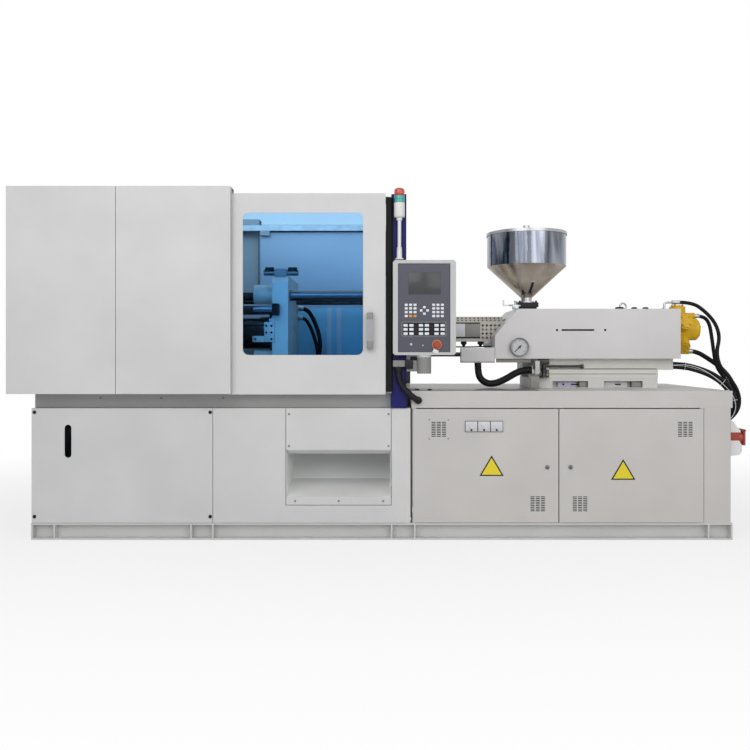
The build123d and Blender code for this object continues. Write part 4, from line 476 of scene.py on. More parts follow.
floorPaint, tree, shader = startMaterial("paleFloor", studio["floor"])
glow = addNode(tree, "Emission", {"Color": studio["white"], "Strength": 1})
oval = addNode(tree, "Mapping", {"Scale": studio["shadowShape"]})
reach = addNode(tree, "VectorMath", operation="LENGTH")
fade = addNode(tree, "MapRange", studio["fade"], interpolation_type="SMOOTHSTEP")
toCamera = addNode(tree, "Math", operation="MULTIPLY")
mixed = addNode(tree, "MixShader")
feed(addNode(tree, "TexCoord").outputs["Object"], oval, "Vector")
feed(oval.outputs["Vector"], reach, 0)
feed(reach.outputs["Value"], fade, "Value")
feed(fade.outputs["Result"], toCamera, 0)
feed(addNode(tree, "LightPath").outputs["Is Camera Ray"], toCamera, 1)
feed(toCamera.outputs[0], mixed, "Fac")
feed(shader.outputs["BSDF"], mixed, 1)
feed(glow.outputs["Emission"], mixed, 2)
feed(mixed.outputs["Shader"], tree.nodes["Material Output"], "Surface")
floorMesh = bpy.data.meshes.new("floor")
half = studio["floorSize"] / 2
floorCorners = [(-half, -half, 0), (half, -half, 0), (half, half, 0), (-half, half, 0)]
floorMesh.from_pydata(floorCorners, [], [(0, 1, 2, 3)])
floorMesh.materials.append(floorPaint)
floor = bpy.data.objects.new("floor", floorMesh)
scene.collection.objects.link(floor)
floor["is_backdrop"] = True
for name, place, aim, size, power in studio["lamps"]:
    lamp = bpy.data.objects.new(name, bpy.data.lights.new(name, "AREA"))
    lamp.data.size = size
    lamp.data.energy = power
    lamp.location = place
    lamp.rotation_euler = (Vector(aim) - Vector(place)).to_track_quat("-Z", "Y").to_euler()
    scene.collection.objects.link(lamp)
print("stage 4: camera, floor and lamps set")

# Hoses and cables: a route at one depth gives (across, height) pairs, the others full points
hoses = {
    "hoseSupply": {
        "node": "hose_supply", "diameter": 0.024, "body": "carriage", "blend": (1.44, 0.7), "depth": -0.045,
        "route": [(1.974, 1.458), (2.066, 1.458), (2.152, 1.4), (2.222, 1.322), (2.252, 1.228),
            (2.228, 1.126), (2.252, 1.026), (2.328, 0.946), (2.382, 0.85), (2.38, 0.746), (2.306, 0.668),
            (2.21, 0.64), (2.119, 0.64)]},
    "hoseReturn": {
        "node": "hose_return", "diameter": 0.024, "body": "carriage", "blend": (1.36, 0.72), "depth": 0.005,
        "route": [(2.1, 1.37), (2.16, 1.37), (2.202, 1.326), (2.218, 1.238), (2.232, 1.13), (2.248, 1.03),
            (2.312, 0.944), (2.364, 0.85), (2.362, 0.754), (2.294, 0.692), (2.206, 0.672), (2.119, 0.672)]},
    "hoseDrain": {
        "node": "hose_drain", "diameter": 0.031, "body": "carriage", "blend": (1.12, 0.66), "depth": 0.06,
        "route": [(2.084, 1.134), (2.134, 1.134), (2.218, 1.084), (2.306, 1.022), (2.376, 0.942),
            (2.408, 0.84), (2.396, 0.734), (2.326, 0.648), (2.216, 0.612), (2.119, 0.612)]},
    "lowerCable": {
        "node": "lower_cable", "diameter": 0.023, "body": "carriage", "blend": (1.03, 0.68), "depth": -0.11,
        "shift": 0.012,
        "route": [(1.887, 1.04), (1.972, 1.04), (2.078, 1.016), (2.178, 0.976), (2.264, 0.912),
            (2.316, 0.824), (2.308, 0.722), (2.226, 0.648), (2.119, 0.648)]},
    "platenHose": {
        "node": "platen_hose", "diameter": 0.03, "body": "clamp_platen", "blend": (1.42, 0.94),
        "route": [(-0.588, 0.352, 1.44), (-0.532, 0.352, 1.44), (-0.484, 0.352, 1.372),
            (-0.446, 0.352, 1.276), (-0.43, 0.352, 1.176), (-0.446, 0.352, 1.08), (-0.46, 0.344, 1.006),
            (-0.464, 0.312, 0.946), (-0.464, 0.312, 0.894)]},
    "platenHoseLow": {
        "node": None, "diameter": 0.026, "body": "clamp_platen", "blend": (1.35, 0.94),
        "route": [(-0.588, 0.3, 1.372), (-0.54, 0.3, 1.372), (-0.5, 0.3, 1.31), (-0.468, 0.3, 1.226),
            (-0.446, 0.3, 1.13), (-0.448, 0.298, 1.05), (-0.455, 0.29, 0.99), (-0.458, 0.27, 0.945),
            (-0.458, 0.27, 0.894)]},
    "panelConduit": {
        "node": "panel_conduit", "diameter": 0.038, "body": "machine_base", "ribs": 0.01,
        "route": [(0.098, -0.58, 1.04), (0.098, -0.58, 0.978), (0.122, -0.592, 0.92),
            (0.164, -0.602, 0.876), (0.204, -0.592, 0.846), (0.218, -0.572, 0.838), (0.218, -0.55, 0.838)]},
    "unitConduit": {
        "node": "unit_conduit", "diameter": 0.046, "body": "carriage", "ribs": 0.01, "depth": -0.213,
        "route": [(0.621, 1.059), (0.621, 1.008), (0.634, 0.956), (0.68, 0.924), (0.736, 0.926),
            (0.8, 0.954), (0.862, 0.992), (0.914, 1.012), (0.965, 1.012)]},
}
hoses["lowerCableLow"] = dict(hoses["lowerCable"], shift=-0.012)
hoses["lowerWire"] = dict(hoses["lowerCable"], shift=0, diameter=0.0052, front=-0.0142, swing=0.01,
                          waves=1.6, pale=True)
for hose in hoses.values():
    if "depth" in hose:
        hose["route"] = [(x, hose["depth"], z) for x, z in hose["route"]]


def sideways(line):
    # unit vectors across a line that hangs in a plane of constant depth
    last = len(line) - 1
    return [(line[min(i + 1, last)] - line[max(i - 1, 0)]).cross(-out).normalized() for i in range(last + 1)]


def shifted(line, hose):
    phase = 2 * pi * hose.get("waves", 0) / (len(line) - 1)
    front = Vector((0, hose.get("front", 0), 0))
    return [point + side * (hose.get("shift", 0) + hose.get("swing", 0) * sin(phase * index)) + front
            for index, (point, side) in enumerate(zip(line, sideways(line)))]


def hangBetween(piece):
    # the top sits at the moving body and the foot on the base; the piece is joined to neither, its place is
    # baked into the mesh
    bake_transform(piece)


for name, hose in hoses.items():
    ribs = hose.get("ribs", 0)
    line = shifted(splineLine(hose["route"], fineness=30 if ribs else 14), hose)
    length = addTube(line, hose["diameter"] / 2, segments=18, ribs=ribs)
    finish, slotName = "hoseRubber", "black_rubber"
    if ribs:
        finish, slotName = "blackPlastic", "black_plastic"
    if hose.get("pale"):
        finish, slotName = "dialPale", "white_plastic"
    tube = addPiece(name, finish, None if "blend" in hose else hose["body"], slotName)
    if hose["node"]:
        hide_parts(hose["node"])
    if "blend" in hose:
        hangBetween(tube)

# Pale ties round the lower cables
ties = {
    "shares": (0.1, 0.46, 0.66), "wire": 0.0018, "wide": 0.0255, "deep": 0.0165, "front": -0.002,
    "steps": 20,
}
line = splineLine(hoses["lowerCable"]["route"])
sides = sideways(line)
for share in ties["shares"]:
    index = round(share * (len(line) - 1))
    addTube([line[index] + ties["wide"] * cos(a) * sides[index]
             + Vector((0, ties["front"] + ties["deep"] * sin(a), 0)) for a in turns(ties["steps"], 1)],
            ties["wire"], segments=8)
hangBetween(addPiece("cableTies", "dialPale", None, "white_plastic"))
print("stage 5: hoses laid")

# Screws on the clamp side: columns, rows and front of each group
panelScrews = {"head": (0.0105, 0.005), "groups": [((-2.085, -1.03), (0.14, 0.766), -0.55)]}
coverScrews = {
    "head": (0.0065, 0.004),
    "groups": [((-0.557, 0.04), (0.564, 0.755), -0.55), ((-0.521, -0.259, 0.008), (0.233,), -0.55),
        ((-1.707, -1.338, -0.962), (0.849,), -0.5)],
}
for name, screws, finish, slotName in (("panelScrews", panelScrews, "blackPlastic", "black_plastic"),
                                       ("coverScrews", coverScrews, "shadePaint", "zinc_steel")):
    for columns, rows, front in screws["groups"]:
        for x in columns:
            for z in rows:
                addScrew((x, front, z), out, *screws["head"])
    addPiece(name, finish, "machine_base", slotName)

# Folded lower edge of the chute cover
coverFold = {
    "left": -0.569, "right": 0.049, "top": 0.541, "drop": 0.028, "front": -0.5475, "depth": 0.036,
    "sheet": 0.002,
}
foldTop = Vector((coverFold["left"], coverFold["front"], coverFold["top"]))
foldFoot = foldTop + Vector((0, coverFold["depth"], -coverFold["drop"]))
sheet = Vector((0, coverFold["sheet"], 0))
foldWidth = coverFold["right"] - coverFold["left"]
addPrism([foldTop, foldFoot, foldFoot + sheet, foldTop + sheet], (foldWidth, 0, 0))
addPiece("coverFold", "basePaint", "machine_base", "panel_paint")

# Beacon: pole, bare body, green and red lenses
beacon = {
    "x": 0.104, "y": -0.6, "foot": 1.677, "green": 2.013, "red": 2.055,
    "pole": [(0.024, 0), (0.024, 0.007), (0.016, 0.011), (0.0145, 0.071), (0.0105, 0.075), (0.0105, 0.229),
        (0.017, 0.233), (0.017, 0.248), (0.03, 0.251), (0.032, 0.256), (0.032, 0.3355)],
    "lens": [(0.03, 0.0005), (0.0312, 0.002), (0.0312, 0.019), (0.0298, 0.0205), (0.0312, 0.022),
        (0.0312, 0.04), (0.03, 0.0415)],
    "dome": [(0.03, 0), (0.0312, 0.002), (0.0312, 0.033), (0.027, 0.041), (0.016, 0.0462), (0, 0.047)],
}
for name, profile, root, finish, slotName in (
        ("beaconPole", "pole", "foot", "whitePlastic", "white_plastic"),
        ("beaconGreen", "lens", "green", "greenLens", "white_plastic"),
        ("beaconRed", "dome", "red", "redLens", "red_plastic")):
    addLathe(beacon[profile], (beacon["x"], beacon["y"], beacon[root]), up, segments=32)
    addPiece(name, finish, "machine_base", slotName, "beacon")
print("stage 6: clamp side dressed")

# Control face: key caps, key field, screen, stop ring, lamps and a bare tag
controls = {
    "face": -0.634, "left": 0.094, "low": 1.126, "width": 0.309, "height": 0.524,
    "columns": (0.159, 0.243, 0.327), "rightColumns": (0.683, 0.764, 0.848),
    "rows": (0.534, 0.494, 0.452, 0.408), "key": (0.0176, 0.0136), "keyShape": (0.0022, 0.0005, 0.0009),
    "arrowMiddle": (0.505, 0.471), "arrowStep": 0.019, "arrow": (0.0156, 0.0136),
    "lowerColumns": (0.146, 0.259, 0.44, 0.553, 0.738, 0.854), "lowerRows": (0.303, 0.258, 0.21),
    "lowerKey": (0.0246, 0.0156), "orange": ((1, 3), (2, 3)), "field": (0.118, 0.3775, 1.2218, 1.3045),
    "fieldShape": (0.0003, 0.0005, 0), "line": 0.0013, "lineShape": (0.0005, -0.0002, 0),
    "screen": (0.1575, 0.3455, 1.4675, 1.5985), "screenShape": (-0.0006, 0.0019, 0.0004),
    "stop": (0.744, 0.086),
    "ring": [(0.0225, 0), (0.029, 0), (0.029, 0.0024), (0.0272, 0.0036), (0.0225, 0.0036), (0.0225, 0)],
    "lamps": ((0.252, 0.09, 0.0052), (0.478, 0.078, 0.003)),
    "lamp": [(1.3, -0.0003), (1.3, 0.001), (1, 0.0014), (0.6, 0.0026), (0, 0.003)],
}


def facePoint(share, rise):
    return (controls["left"] + share * controls["width"], controls["low"] + rise * controls["height"])


def addKey(x, z, size, tone=0):
    wide, high = size[0] / 2, size[1] / 2
    addPlate(x - wide, x + wide, z - high, z + high, controls["face"], controls["keyShape"], tone)


for columns in ("columns", "rightColumns"):
    for column, share in enumerate(controls[columns]):
        for row, rise in enumerate(controls["rows"]):
            orange = columns == "columns" and (column, row) in controls["orange"]
            addKey(*facePoint(share, rise), controls["key"], int(orange))
middleX, middleZ = facePoint(*controls["arrowMiddle"])
step = controls["arrowStep"]
for stepX, stepZ in ((step, 0), (-step, 0), (0, step), (0, -step)):
    addKey(middleX + stepX, middleZ + stepZ, controls["arrow"])
for share in controls["lowerColumns"]:
    for rise in controls["lowerRows"]:
        addKey(*facePoint(share, rise), controls["lowerKey"])
addPiece("keyCaps", "keyWhite keyOrange", "control_panel", "white_plastic")

left, far, low, high = controls["field"]
line = controls["line"]
addPlate(left, far, low, high, controls["face"], controls["fieldShape"])
for sides in ((left, far, low, low + line), (left, far, high - line, high), (left, left + line, low, high),
              (far - line, far, low, high)):
    addPlate(*sides, controls["face"], controls["lineShape"], tone=1)
addPiece("keyField", "blackPlastic dialPale", "control_panel", "membrane")
addPlate(*controls["screen"], controls["face"], controls["screenShape"])
addPiece("screen", "screenGlass", "control_panel", "membrane")

stopX, stopZ = facePoint(*controls["stop"])
addLathe(controls["ring"], (stopX, controls["face"], stopZ), out, segments=40, ends=False)
addPiece("stopRing", "ringOrange", "control_panel", "red_plastic")
for share, rise, radius in controls["lamps"]:
    x, z = facePoint(share, rise)
    addLathe(scaled(controls["lamp"], radius), (x, controls["face"], z), out, segments=18)
addPiece("panelLamps", "dialPale", "control_panel", "white_plastic")

bareTag = {
    "half": (0.0165, 0.0006, 0.011), "place": (0.316, -0.6425, 1.132), "tilt": 24,
    "hole": (0.0099, 0, 0.0077), "bend": (0.3225, -0.641, 1.1415), "knot": (-0.003, -0.638, -0.0266),
    "string": 0.0009, "soften": 0.0004,
}
tilt = Matrix.Translation(bareTag["place"]) @ Matrix.Rotation(radians(bareTag["tilt"]), 4, "Y")
addSlab(-Vector(bareTag["half"]), bareTag["half"], bareTag["soften"], turn=tilt)
knot = Vector((stopX, 0, stopZ)) + Vector(bareTag["knot"])
addTube([tilt @ Vector(bareTag["hole"]), bareTag["bend"], knot], bareTag["string"], segments=8)
addPiece("bareTag", "whitePlastic", "control_panel", "white_plastic")

# Parts under the panel: switch box, post, cable glands and table screws
underPanel = {
    "box": ((0.14, -0.618, 1.028), (0.184, -0.56, 1.082), 0.003),
    "post": ((0.143, -0.572, 0.94), (0.17, -0.55, 1.014), 0.002),
    "glands": (((0.098, -0.58, 1.041), -up), ((0.218, -0.549, 0.838), out)), "glandRadius": 0.024,
    "gland": [(1, 0), (1, 0.01), (0.9, 0.012), (0.9, 0.022), (0.8, 0.025)], "screws": (0.212, 0.288),
    "screwFront": -0.53, "tableTop": 0.894,
    "screw": [(0.014, 0), (0.014, 0.008), (0.009, 0.012), (0, 0.012)],
}
addSlab(*underPanel["box"])
addSlab(*underPanel["post"])
for point, direction in underPanel["glands"]:
    addLathe(scaled(underPanel["gland"], underPanel["glandRadius"]), point, direction, segments=8)
for x in underPanel["screws"]:
    addLathe(underPanel["screw"], (x, underPanel["screwFront"], underPanel["tableTop"]), up, segments=12)
addPiece("underPanel", "darkPaint", "machine_base", "dark_paint")

# Sheet on the table top beside the barrel
tableSheet = {"low": (0.186, -0.545, 0.8935), "high": (0.955, 0.1, 0.8962), "soften": 0.0006}
addSlab(**tableSheet)
addPiece("tableSheet", "tableSheet", "machine_base", "zinc_steel")
print("stage 7: control panel dressed")

# Barrel guard: bare plates between dark strips, rows of holes on its bevelled edge drawn as dark discs,
# painted shade of the holes
guardFit = {
    "front": -0.082, "plates": ((0.43, 0.5535, 1.229, 1.315), (0.5545, 0.653, 1.229, 1.315)),
    "plateShape": (0.0016, 0.0004, 0.0005),
    "strips": ((0.43, 0.653, 1.3155, 1.3225), (0.43, 0.653, 1.219, 1.2275)),
    "stripShape": (0.004, 0.0004, 0.001), "dotsLeft": 0.427, "dotPitch": 0.027, "dotColumns": 14,
    "dotRows": ((-0.0725, 1.3375), (-0.0575, 1.3525)),
    "dot": [(0.006, -0.0004), (0.006, 0.0004), (0, 0.0004)],
}
for tone, plate in enumerate(guardFit["plates"]):
    addPlate(*plate, guardFit["front"], guardFit["plateShape"], tone)
for strip in guardFit["strips"]:
    addPlate(*strip, guardFit["front"], guardFit["stripShape"], tone=2)
addPiece("barePlates", "dialPale shadePaint blackPlastic", "carriage", "grey_plastic")
# dark discs: painted shade where the holes are
for column in range(guardFit["dotColumns"]):
    for y, z in guardFit["dotRows"]:
        spot = (guardFit["dotsLeft"] + column * guardFit["dotPitch"], y, z)
        addLathe(guardFit["dot"], spot, (out + up).normalized(), segments=10)
addPiece("guardDots", "darkPaint", "carriage", "dark_paint")

# Heater sockets under the guard, their harness and a sensor block
heaterFit = {
    "sockets": (0.547, 0.658), "depth": -0.058, "top": 1.199,
    "socket": [(0.017, 0), (0.017, 0.006), (0.02, 0.007), (0.02, 0.016), (0.013, 0.022), (0.007, 0.034)],
    "harness": [(0.42, -0.058, 1.164), (0.547, -0.08, 1.16), (0.658, -0.092, 1.163),
        (0.7, -0.1, 1.164), (0.735, -0.11, 1.164)], "harnessRadius": 0.0045,
    "block": ((0.676, -0.088, 1.168), (0.722, -0.05, 1.199), 0.003),
}
for x in heaterFit["sockets"]:
    addLathe(heaterFit["socket"], (x, heaterFit["depth"], heaterFit["top"]), -up, segments=18)
addTube(splineLine(heaterFit["harness"], fineness=6), heaterFit["harnessRadius"], segments=10)
addPiece("heaterSockets", "blackPlastic", "carriage", "black_plastic")
addSlab(*heaterFit["block"])
addPiece("sensorBlock", "greyPlastic", "carriage", "grey_plastic")

# Hopper throat: bolts on the black flange, sight slot on the cone, clamp of the gate
throat = {
    "x": 0.974, "top": 1.456, "inset": 0.054, "boltRadius": 0.0075,
    "bolt": [(1, -0.001), (1, 0.009), (0.55, 0.0095), (0.55, 0.014), (0, 0.0145)], "neckTop": 1.49,
    "neckRadius": 0.0365, "flare": 1.0845, "slotTurn": 7, "slotLow": 1.516, "slotHigh": 1.588,
    "slotHalf": 0.0135, "slotLayers": ((-0.001, 0.0016, 0, 0.004), (0.001, 0.0022, 0.005, 0.003)),
    "clamp": ((0.866, -0.094, 1.408), (0.906, -0.064, 1.44), 0.004), "pinFoot": (0.886, -0.079, 1.44),
    "pin": [(0.006, 0), (0.006, 0.016), (0.009, 0.018), (0.009, 0.026), (0, 0.027)],
    "tongue": ((0.9, -0.09, 1.428), (0.918, -0.0665, 1.438), 0.002),
}
for signX, signY in fourSigns:
    point = (throat["x"] + signX * throat["inset"], signY * throat["inset"], throat["top"])
    addLathe(scaled(throat["bolt"], throat["boltRadius"]), point, up, segments=6)
addPiece("throatBolts", "blackPlastic", "carriage", "black_plastic")
turn = radians(throat["slotTurn"])
radial = Vector((sin(turn), -cos(turn), 0))
slope = (radial * throat["flare"] + up).normalized()
outward = (radial - up * throat["flare"]).normalized()


def conePoint(z):
    radius = throat["neckRadius"] + (z - throat["neckTop"]) * throat["flare"]
    return Vector((throat["x"], 0, z)) + radial * radius


slotFoot, slotHead = conePoint(throat["slotLow"]), conePoint(throat["slotHigh"])
placed = Matrix((outward.cross(slope), outward, slope)).transposed().to_4x4()
placed.translation = (slotFoot + slotHead) / 2
halfLong = (slotHead - slotFoot).length / 2
for tone, (root, top, inset, soften) in enumerate(throat["slotLayers"]):
    wide, long = throat["slotHalf"] - inset, halfLong - inset
    addSlab((-wide, root, -long), (wide, top, long), soften, tone, segments=3, turn=placed)
addPiece("sightSlot", "zincSteel darkPaint", "carriage", "polished_stainless")
addSlab(*throat["clamp"])
addLathe(throat["pin"], throat["pinFoot"], up, segments=14)
addSlab(*throat["tongue"])
addPiece("gateClamp", "zincSteel", "carriage", "zinc_steel")

# Pressure gauge: pale dial with ticks and a rounded rim; a tick gives start, end and half width
gauge = {
    "middle": (0.877, 1.159), "front": -0.2779, "ticks": 25, "majorEach": 4, "sweep": 270, "start": 225,
    "dial": [(0.0515, 0), (0.0515, 0.0006), (0.004, 0.0006), (0.004, 0)], "major": (0.037, 0.0465, 0.0011),
    "minor": (0.041, 0.0465, 0.0006), "tickDepths": (-0.0009, -0.0005),
    "rim": [(0.059, 0.274), (0.0602, 0.276), (0.0602, 0.282), (0.0592, 0.2878), (0.0565, 0.289),
        (0.0535, 0.288), (0.0525, 0.284)],
}
x, z = gauge["middle"]
addLathe(gauge["dial"], (x, gauge["front"], z), out, segments=48)
for tick in range(gauge["ticks"]):
    angle = radians(gauge["start"] - tick * gauge["sweep"] / (gauge["ticks"] - 1))
    turn = Matrix.Translation((x, gauge["front"], z)) @ Matrix.Rotation(-angle, 4, "Y")
    near, far, half = gauge["minor" if tick % gauge["majorEach"] else "major"]
    top, root = gauge["tickDepths"]
    addSlab((near, top, -half), (far, root, half), soften=0, tone=1, turn=turn)
addPiece("gaugeDial", "greyPlastic blackPlastic", "carriage", "white_plastic")
addLathe(gauge["rim"], (x, 0, z), out, segments=48, ends=False)
addPiece("gaugeRim", "lockSteel", "carriage", "chromed_steel")

# Unit cover: dark backing of the slot, painted shade behind it, boss, knobs and eye bolt on top, lip under
# the nose in painted shade
unitFit = {
    "backing": ((1.105, -0.2518, 1.254), (1.445, -0.2506, 1.282), 0), "top": 1.404, "bossX": 1.598,
    "boss": [(0.028, -0.001), (0.028, 0.021), (0.023, 0.025), (0, 0.025)], "knobs": (1.697, 1.773),
    "knob": [(0.01, -0.001), (0.01, 0.011), (0.019, 0.012), (0.019, 0.02), (0.015, 0.024), (0, 0.0245)],
    "eyeX": 1.621, "eyeRise": 0.03, "eyeRadius": 0.021, "eyeWire": 0.006, "eyeSteps": 28,
    "eyeFoot": [(0.018, -0.001), (0.018, 0.005), (0.01, 0.008), (0.008, 0.012)],
    "lip": ((0.735, -0.236, 1.0605), (0.958, -0.226, 1.087), 0.001),
}
# dark sheet behind the slot: painted shade
addSlab(*unitFit["backing"])
addLathe(unitFit["boss"], (unitFit["bossX"], 0, unitFit["top"]), up, segments=24)
for x in unitFit["knobs"]:
    addLathe(unitFit["knob"], (x, 0, unitFit["top"]), up, segments=24)
addPiece("unitKnobs", "blackPlastic", "carriage", "black_plastic")
eyeMiddle = Vector((unitFit["eyeX"], 0, unitFit["top"] + unitFit["eyeRise"]))
addTube([eyeMiddle + unitFit["eyeRadius"] * (right * sin(a) - up * cos(a))
         for a in turns(unitFit["eyeSteps"], 1)], unitFit["eyeWire"], segments=12)
addLathe(unitFit["eyeFoot"], (unitFit["eyeX"], 0, unitFit["top"]), up)
addPiece("eyeBolt", "machinedSteel", "carriage", "machined_steel")
# the lip is the unit floor, coloured with painted shade under the nose
addSlab(*unitFit["lip"])
addPiece("noseLip", "shadePaint", "carriage", "panel_paint")

# Fittings at the front of the slide
slideFit = {
    "plate": ((0.98, -0.262, 0.986), (1.009, -0.24, 1.072), 0.002),
    "edge": ((0.969, -0.262, 1.02), (0.98, -0.24, 1.084), 0.002),
    "valve": ((1.012, -0.236, 1.046), (1.076, -0.188, 1.084), 0.004), "stemFoot": (1.046, -0.213, 0.966),
    "stem": [(0.03, 0), (0.03, 0.008), (0.018, 0.01), (0.015, 0.03), (0.021, 0.034), (0.021, 0.05),
        (0.015, 0.054), (0.015, 0.082)], "rodStart": (1.07, -0.2, 1.0355),
    "rod": [(0.0075, 0), (0.0075, 0.23)],
    "rodFoot": ((1.288, -0.208, 1.022), (1.304, -0.186, 1.048), 0.002),
    "bracket": ((0.95, -0.262, 0.894), (1.006, -0.238, 0.972), 0.002),
    "bracketFoot": ((0.944, -0.262, 0.894), (1.012, -0.214, 0.899), 0.001),
}
addSlab(*slideFit["plate"])
addPiece("glandPlate", "greyPlastic", "carriage", "grey_plastic")
addSlab(*slideFit["edge"])
addSlab(*slideFit["valve"])
addLathe(slideFit["stem"], slideFit["stemFoot"], up)
addLathe(slideFit["rod"], slideFit["rodStart"], right, segments=16)
addSlab(*slideFit["rodFoot"])
addPiece("slideValve", "darkRod", "carriage", "dark_paint")
addSlab(*slideFit["bracket"])
addSlab(*slideFit["bracketFoot"])
addPiece("hoseBracket", "shadePaint", "machine_base", "frame_paint")

# Plates, blocks, dots and bars in the pockets of the slide base
pockets = {
    "front": -0.15, "low": 0.898, "high": 0.936, "plates": ((1.15, 1.268), (1.447, 1.602)),
    "plateShape": (0, 0.008, 0.001), "blocks": ((1.286, 1.332), (1.626, 1.686)),
    "blockShape": (0.022, 0.02, 0.002), "dots": (1.186, 1.552), "dotZ": 0.917,
    "dot": [(0.006, -0.002), (0.006, 0.005), (0, 0.006)], "bars": ((1.236, 1.284), (1.522, 1.545)),
    "barZ": (0.913, 0.921), "barShape": (0.003, 0.002, 0.001),
}
pocketZ = (pockets["low"], pockets["high"])
for tone, plate in enumerate(pockets["plates"]):
    addPlate(*plate, *pocketZ, pockets["front"], pockets["plateShape"], tone)
for block in pockets["blocks"]:
    addPlate(*block, *pocketZ, pockets["front"], pockets["blockShape"], tone=2)
for x in pockets["dots"]:
    addLathe(pockets["dot"], (x, pockets["front"], pockets["dotZ"]), out, segments=14, tone=3)
for bar in pockets["bars"]:
    addPlate(*bar, *pockets["barZ"], pockets["front"], pockets["barShape"], tone=3)
addPiece("pocketParts", "lilacPlate dialPale shadePaint blackPlastic", "machine_base", "zinc_steel")

# Seam under the slide and the ledge above it; the ledge carries painted shade
slideTrim = {
    "front": -0.188, "seam": (1.082, 1.78, 0.9835, 0.988), "seamShape": (0.0008, 0.002, 0),
    "ledge": (1.082, 1.78, 1.0165, 1.0225), "ledgeShape": (0.003, 0.002, 0.001),
}
addPlate(*slideTrim["seam"], slideTrim["front"], slideTrim["seamShape"])
addPlate(*slideTrim["ledge"], slideTrim["front"], slideTrim["ledgeShape"])
addPiece("slideTrim", "shadePaint", "carriage", "zinc_steel")
print("stage 8: injection unit dressed")

# Screw motor: bolts on the lobe caps, the end cover and the casing
motorBolts = {
    "middle": (1.985, 0, 1.28), "lobes": 5, "cap": 0.158, "step": 0.025, "end": 0.132, "endRing": 0.05,
    "face": 0.06, "faceRing": 0.086, "head": (0.0065, 0.007),
}
middle = Vector(motorBolts["middle"])
for angle in turns(motorBolts["lobes"]):
    radial = Vector((0, sin(angle), cos(angle)))
    across = radial.cross(right)
    for alongX, alongY in fourSigns:
        spot = radial * motorBolts["cap"] + motorBolts["step"] * (alongX * right + alongY * across)
        addScrew(middle + spot, radial, *motorBolts["head"])
    angle += pi / motorBolts["lobes"]
    between = Vector((0, sin(angle), cos(angle)))
    for along, ring, way in (("face", "faceRing", between), ("end", "endRing", radial)):
        addScrew(middle + right * motorBolts[along] + way * motorBolts[ring], right, *motorBolts["head"])
addPiece("motorBolts", "yellowPaint", "carriage", "yellow_paint")

# Pipe, its nut and the ferrules of the hoses, ports of the platen hoses
fittings = {
    "pipe": [(1.88, -0.045, 1.402), (1.88, -0.045, 1.432), (1.884, -0.045, 1.456), (1.912, -0.045, 1.458),
        (1.94, -0.045, 1.458)], "pipeRadius": 0.0075, "nutFoot": (1.88, -0.045, 1.4035),
    "nut": [(0.015, 0), (0.015, 0.011), (0.01, 0.013), (0.01, 0.019)],
    "ferrules": (((1.932, -0.045, 1.458), 0.0135, 0.05), ((2.088, 0.005, 1.37), 0.0145, 0.046),
        ((2.07, 0.06, 1.134), 0.018, 0.04)),
    "collar": [(0.9, 0), (1.1, 0.001), (1.1, 0.01), (0.88, 0.012), (1, 0.016)], "taper": (0.93, 0.004),
    "port": [(0.021, -0.002), (0.021, 0.012), (0.0185, 0.014), (0.0185, 0.034), (0.0165, 0.038)],
}
addTube(splineLine(fittings["pipe"], fineness=8), fittings["pipeRadius"], segments=16)
addLathe(fittings["nut"], fittings["nutFoot"], up, segments=6)
for point, radius, length in fittings["ferrules"]:
    share, taper = fittings["taper"]
    ferrule = fittings["collar"] + [(1, length - taper), (share, length)]
    addLathe(scaled(ferrule, radius), point, right)
addPiece("hoseFittings", "zincSteel", "carriage", "machined_steel", "supply_pipe")
for name in ("platenHose", "platenHoseLow"):
    addLathe(fittings["port"], hoses[name]["route"][0], right, segments=16)
addPiece("platenPorts", "zincSteel", "clamp_platen", "machined_steel")

# Bracket with bolts on the moving platen's near side
platenFit = {
    "front": -0.33, "shape": (0.014, 0.001, 0.002), "upright": (-0.736, -0.672, 1.19, 1.316),
    "arm": (-0.81, -0.7355, 1.19, 1.228), "head": (0.007, 0.006),
    "bolts": ((-0.722, 1.292), (-0.69, 1.292), (-0.722, 1.25), (-0.69, 1.25), (-0.79, 1.209),
        (-0.69, 1.209)),
}
for part in ("upright", "arm"):
    addPlate(*platenFit[part], platenFit["front"], platenFit["shape"])
for x, z in platenFit["bolts"]:
    addScrew((x, platenFit["front"] - platenFit["shape"][0], z), out, *platenFit["head"], tone=1)
addPiece("platenBracket", "platenIron darkPaint", "clamp_platen", "platen_iron")

# Meters: pale faces with a grey foot, a pivot and a needle
meters = {
    "left": 0.499, "width": 0.076, "count": 3, "low": 0.648, "high": 0.714, "front": -0.555, "inset": 0.003,
    "foot": 0.02, "faceShape": (0.0012, 0.001, 0.0005), "footShape": (0.0024, 0.001, 0.0008),
    "pivotDrop": 0.008, "pivot": [(0.006, 0.001), (0.006, 0.005), (0.004, 0.006), (0, 0.006)],
    "needle": ((-0.0005, -0.0003, 0), (0.0005, 0.0003, 0.034), 0), "needlePlace": (-0.0014, -0.004),
    "lean": -38,
}
front, inset = meters["front"], meters["inset"]
foot = meters["low"] + meters["foot"]
for index in range(meters["count"]):
    left = meters["left"] + index * meters["width"] + inset
    far = left + meters["width"] - 2 * inset
    middleX = (left + far) / 2
    addPlate(left, far, foot, meters["high"] - inset, front, meters["faceShape"])
    addPlate(left, far, meters["low"] + inset, foot, front, meters["footShape"], tone=1)
    addLathe(meters["pivot"], (middleX, front, foot - meters["pivotDrop"]), out, segments=16, tone=2)
    shiftY, shiftZ = meters["needlePlace"]
    needle = Matrix.Translation((middleX, front + shiftY, foot + shiftZ))
    addSlab(*meters["needle"], tone=2, turn=needle @ Matrix.Rotation(radians(meters["lean"]), 4, "Y"))
addPiece("meterFaces", "dialPale greyPlastic blackPlastic", "left_cabinet_door", "white_plastic")

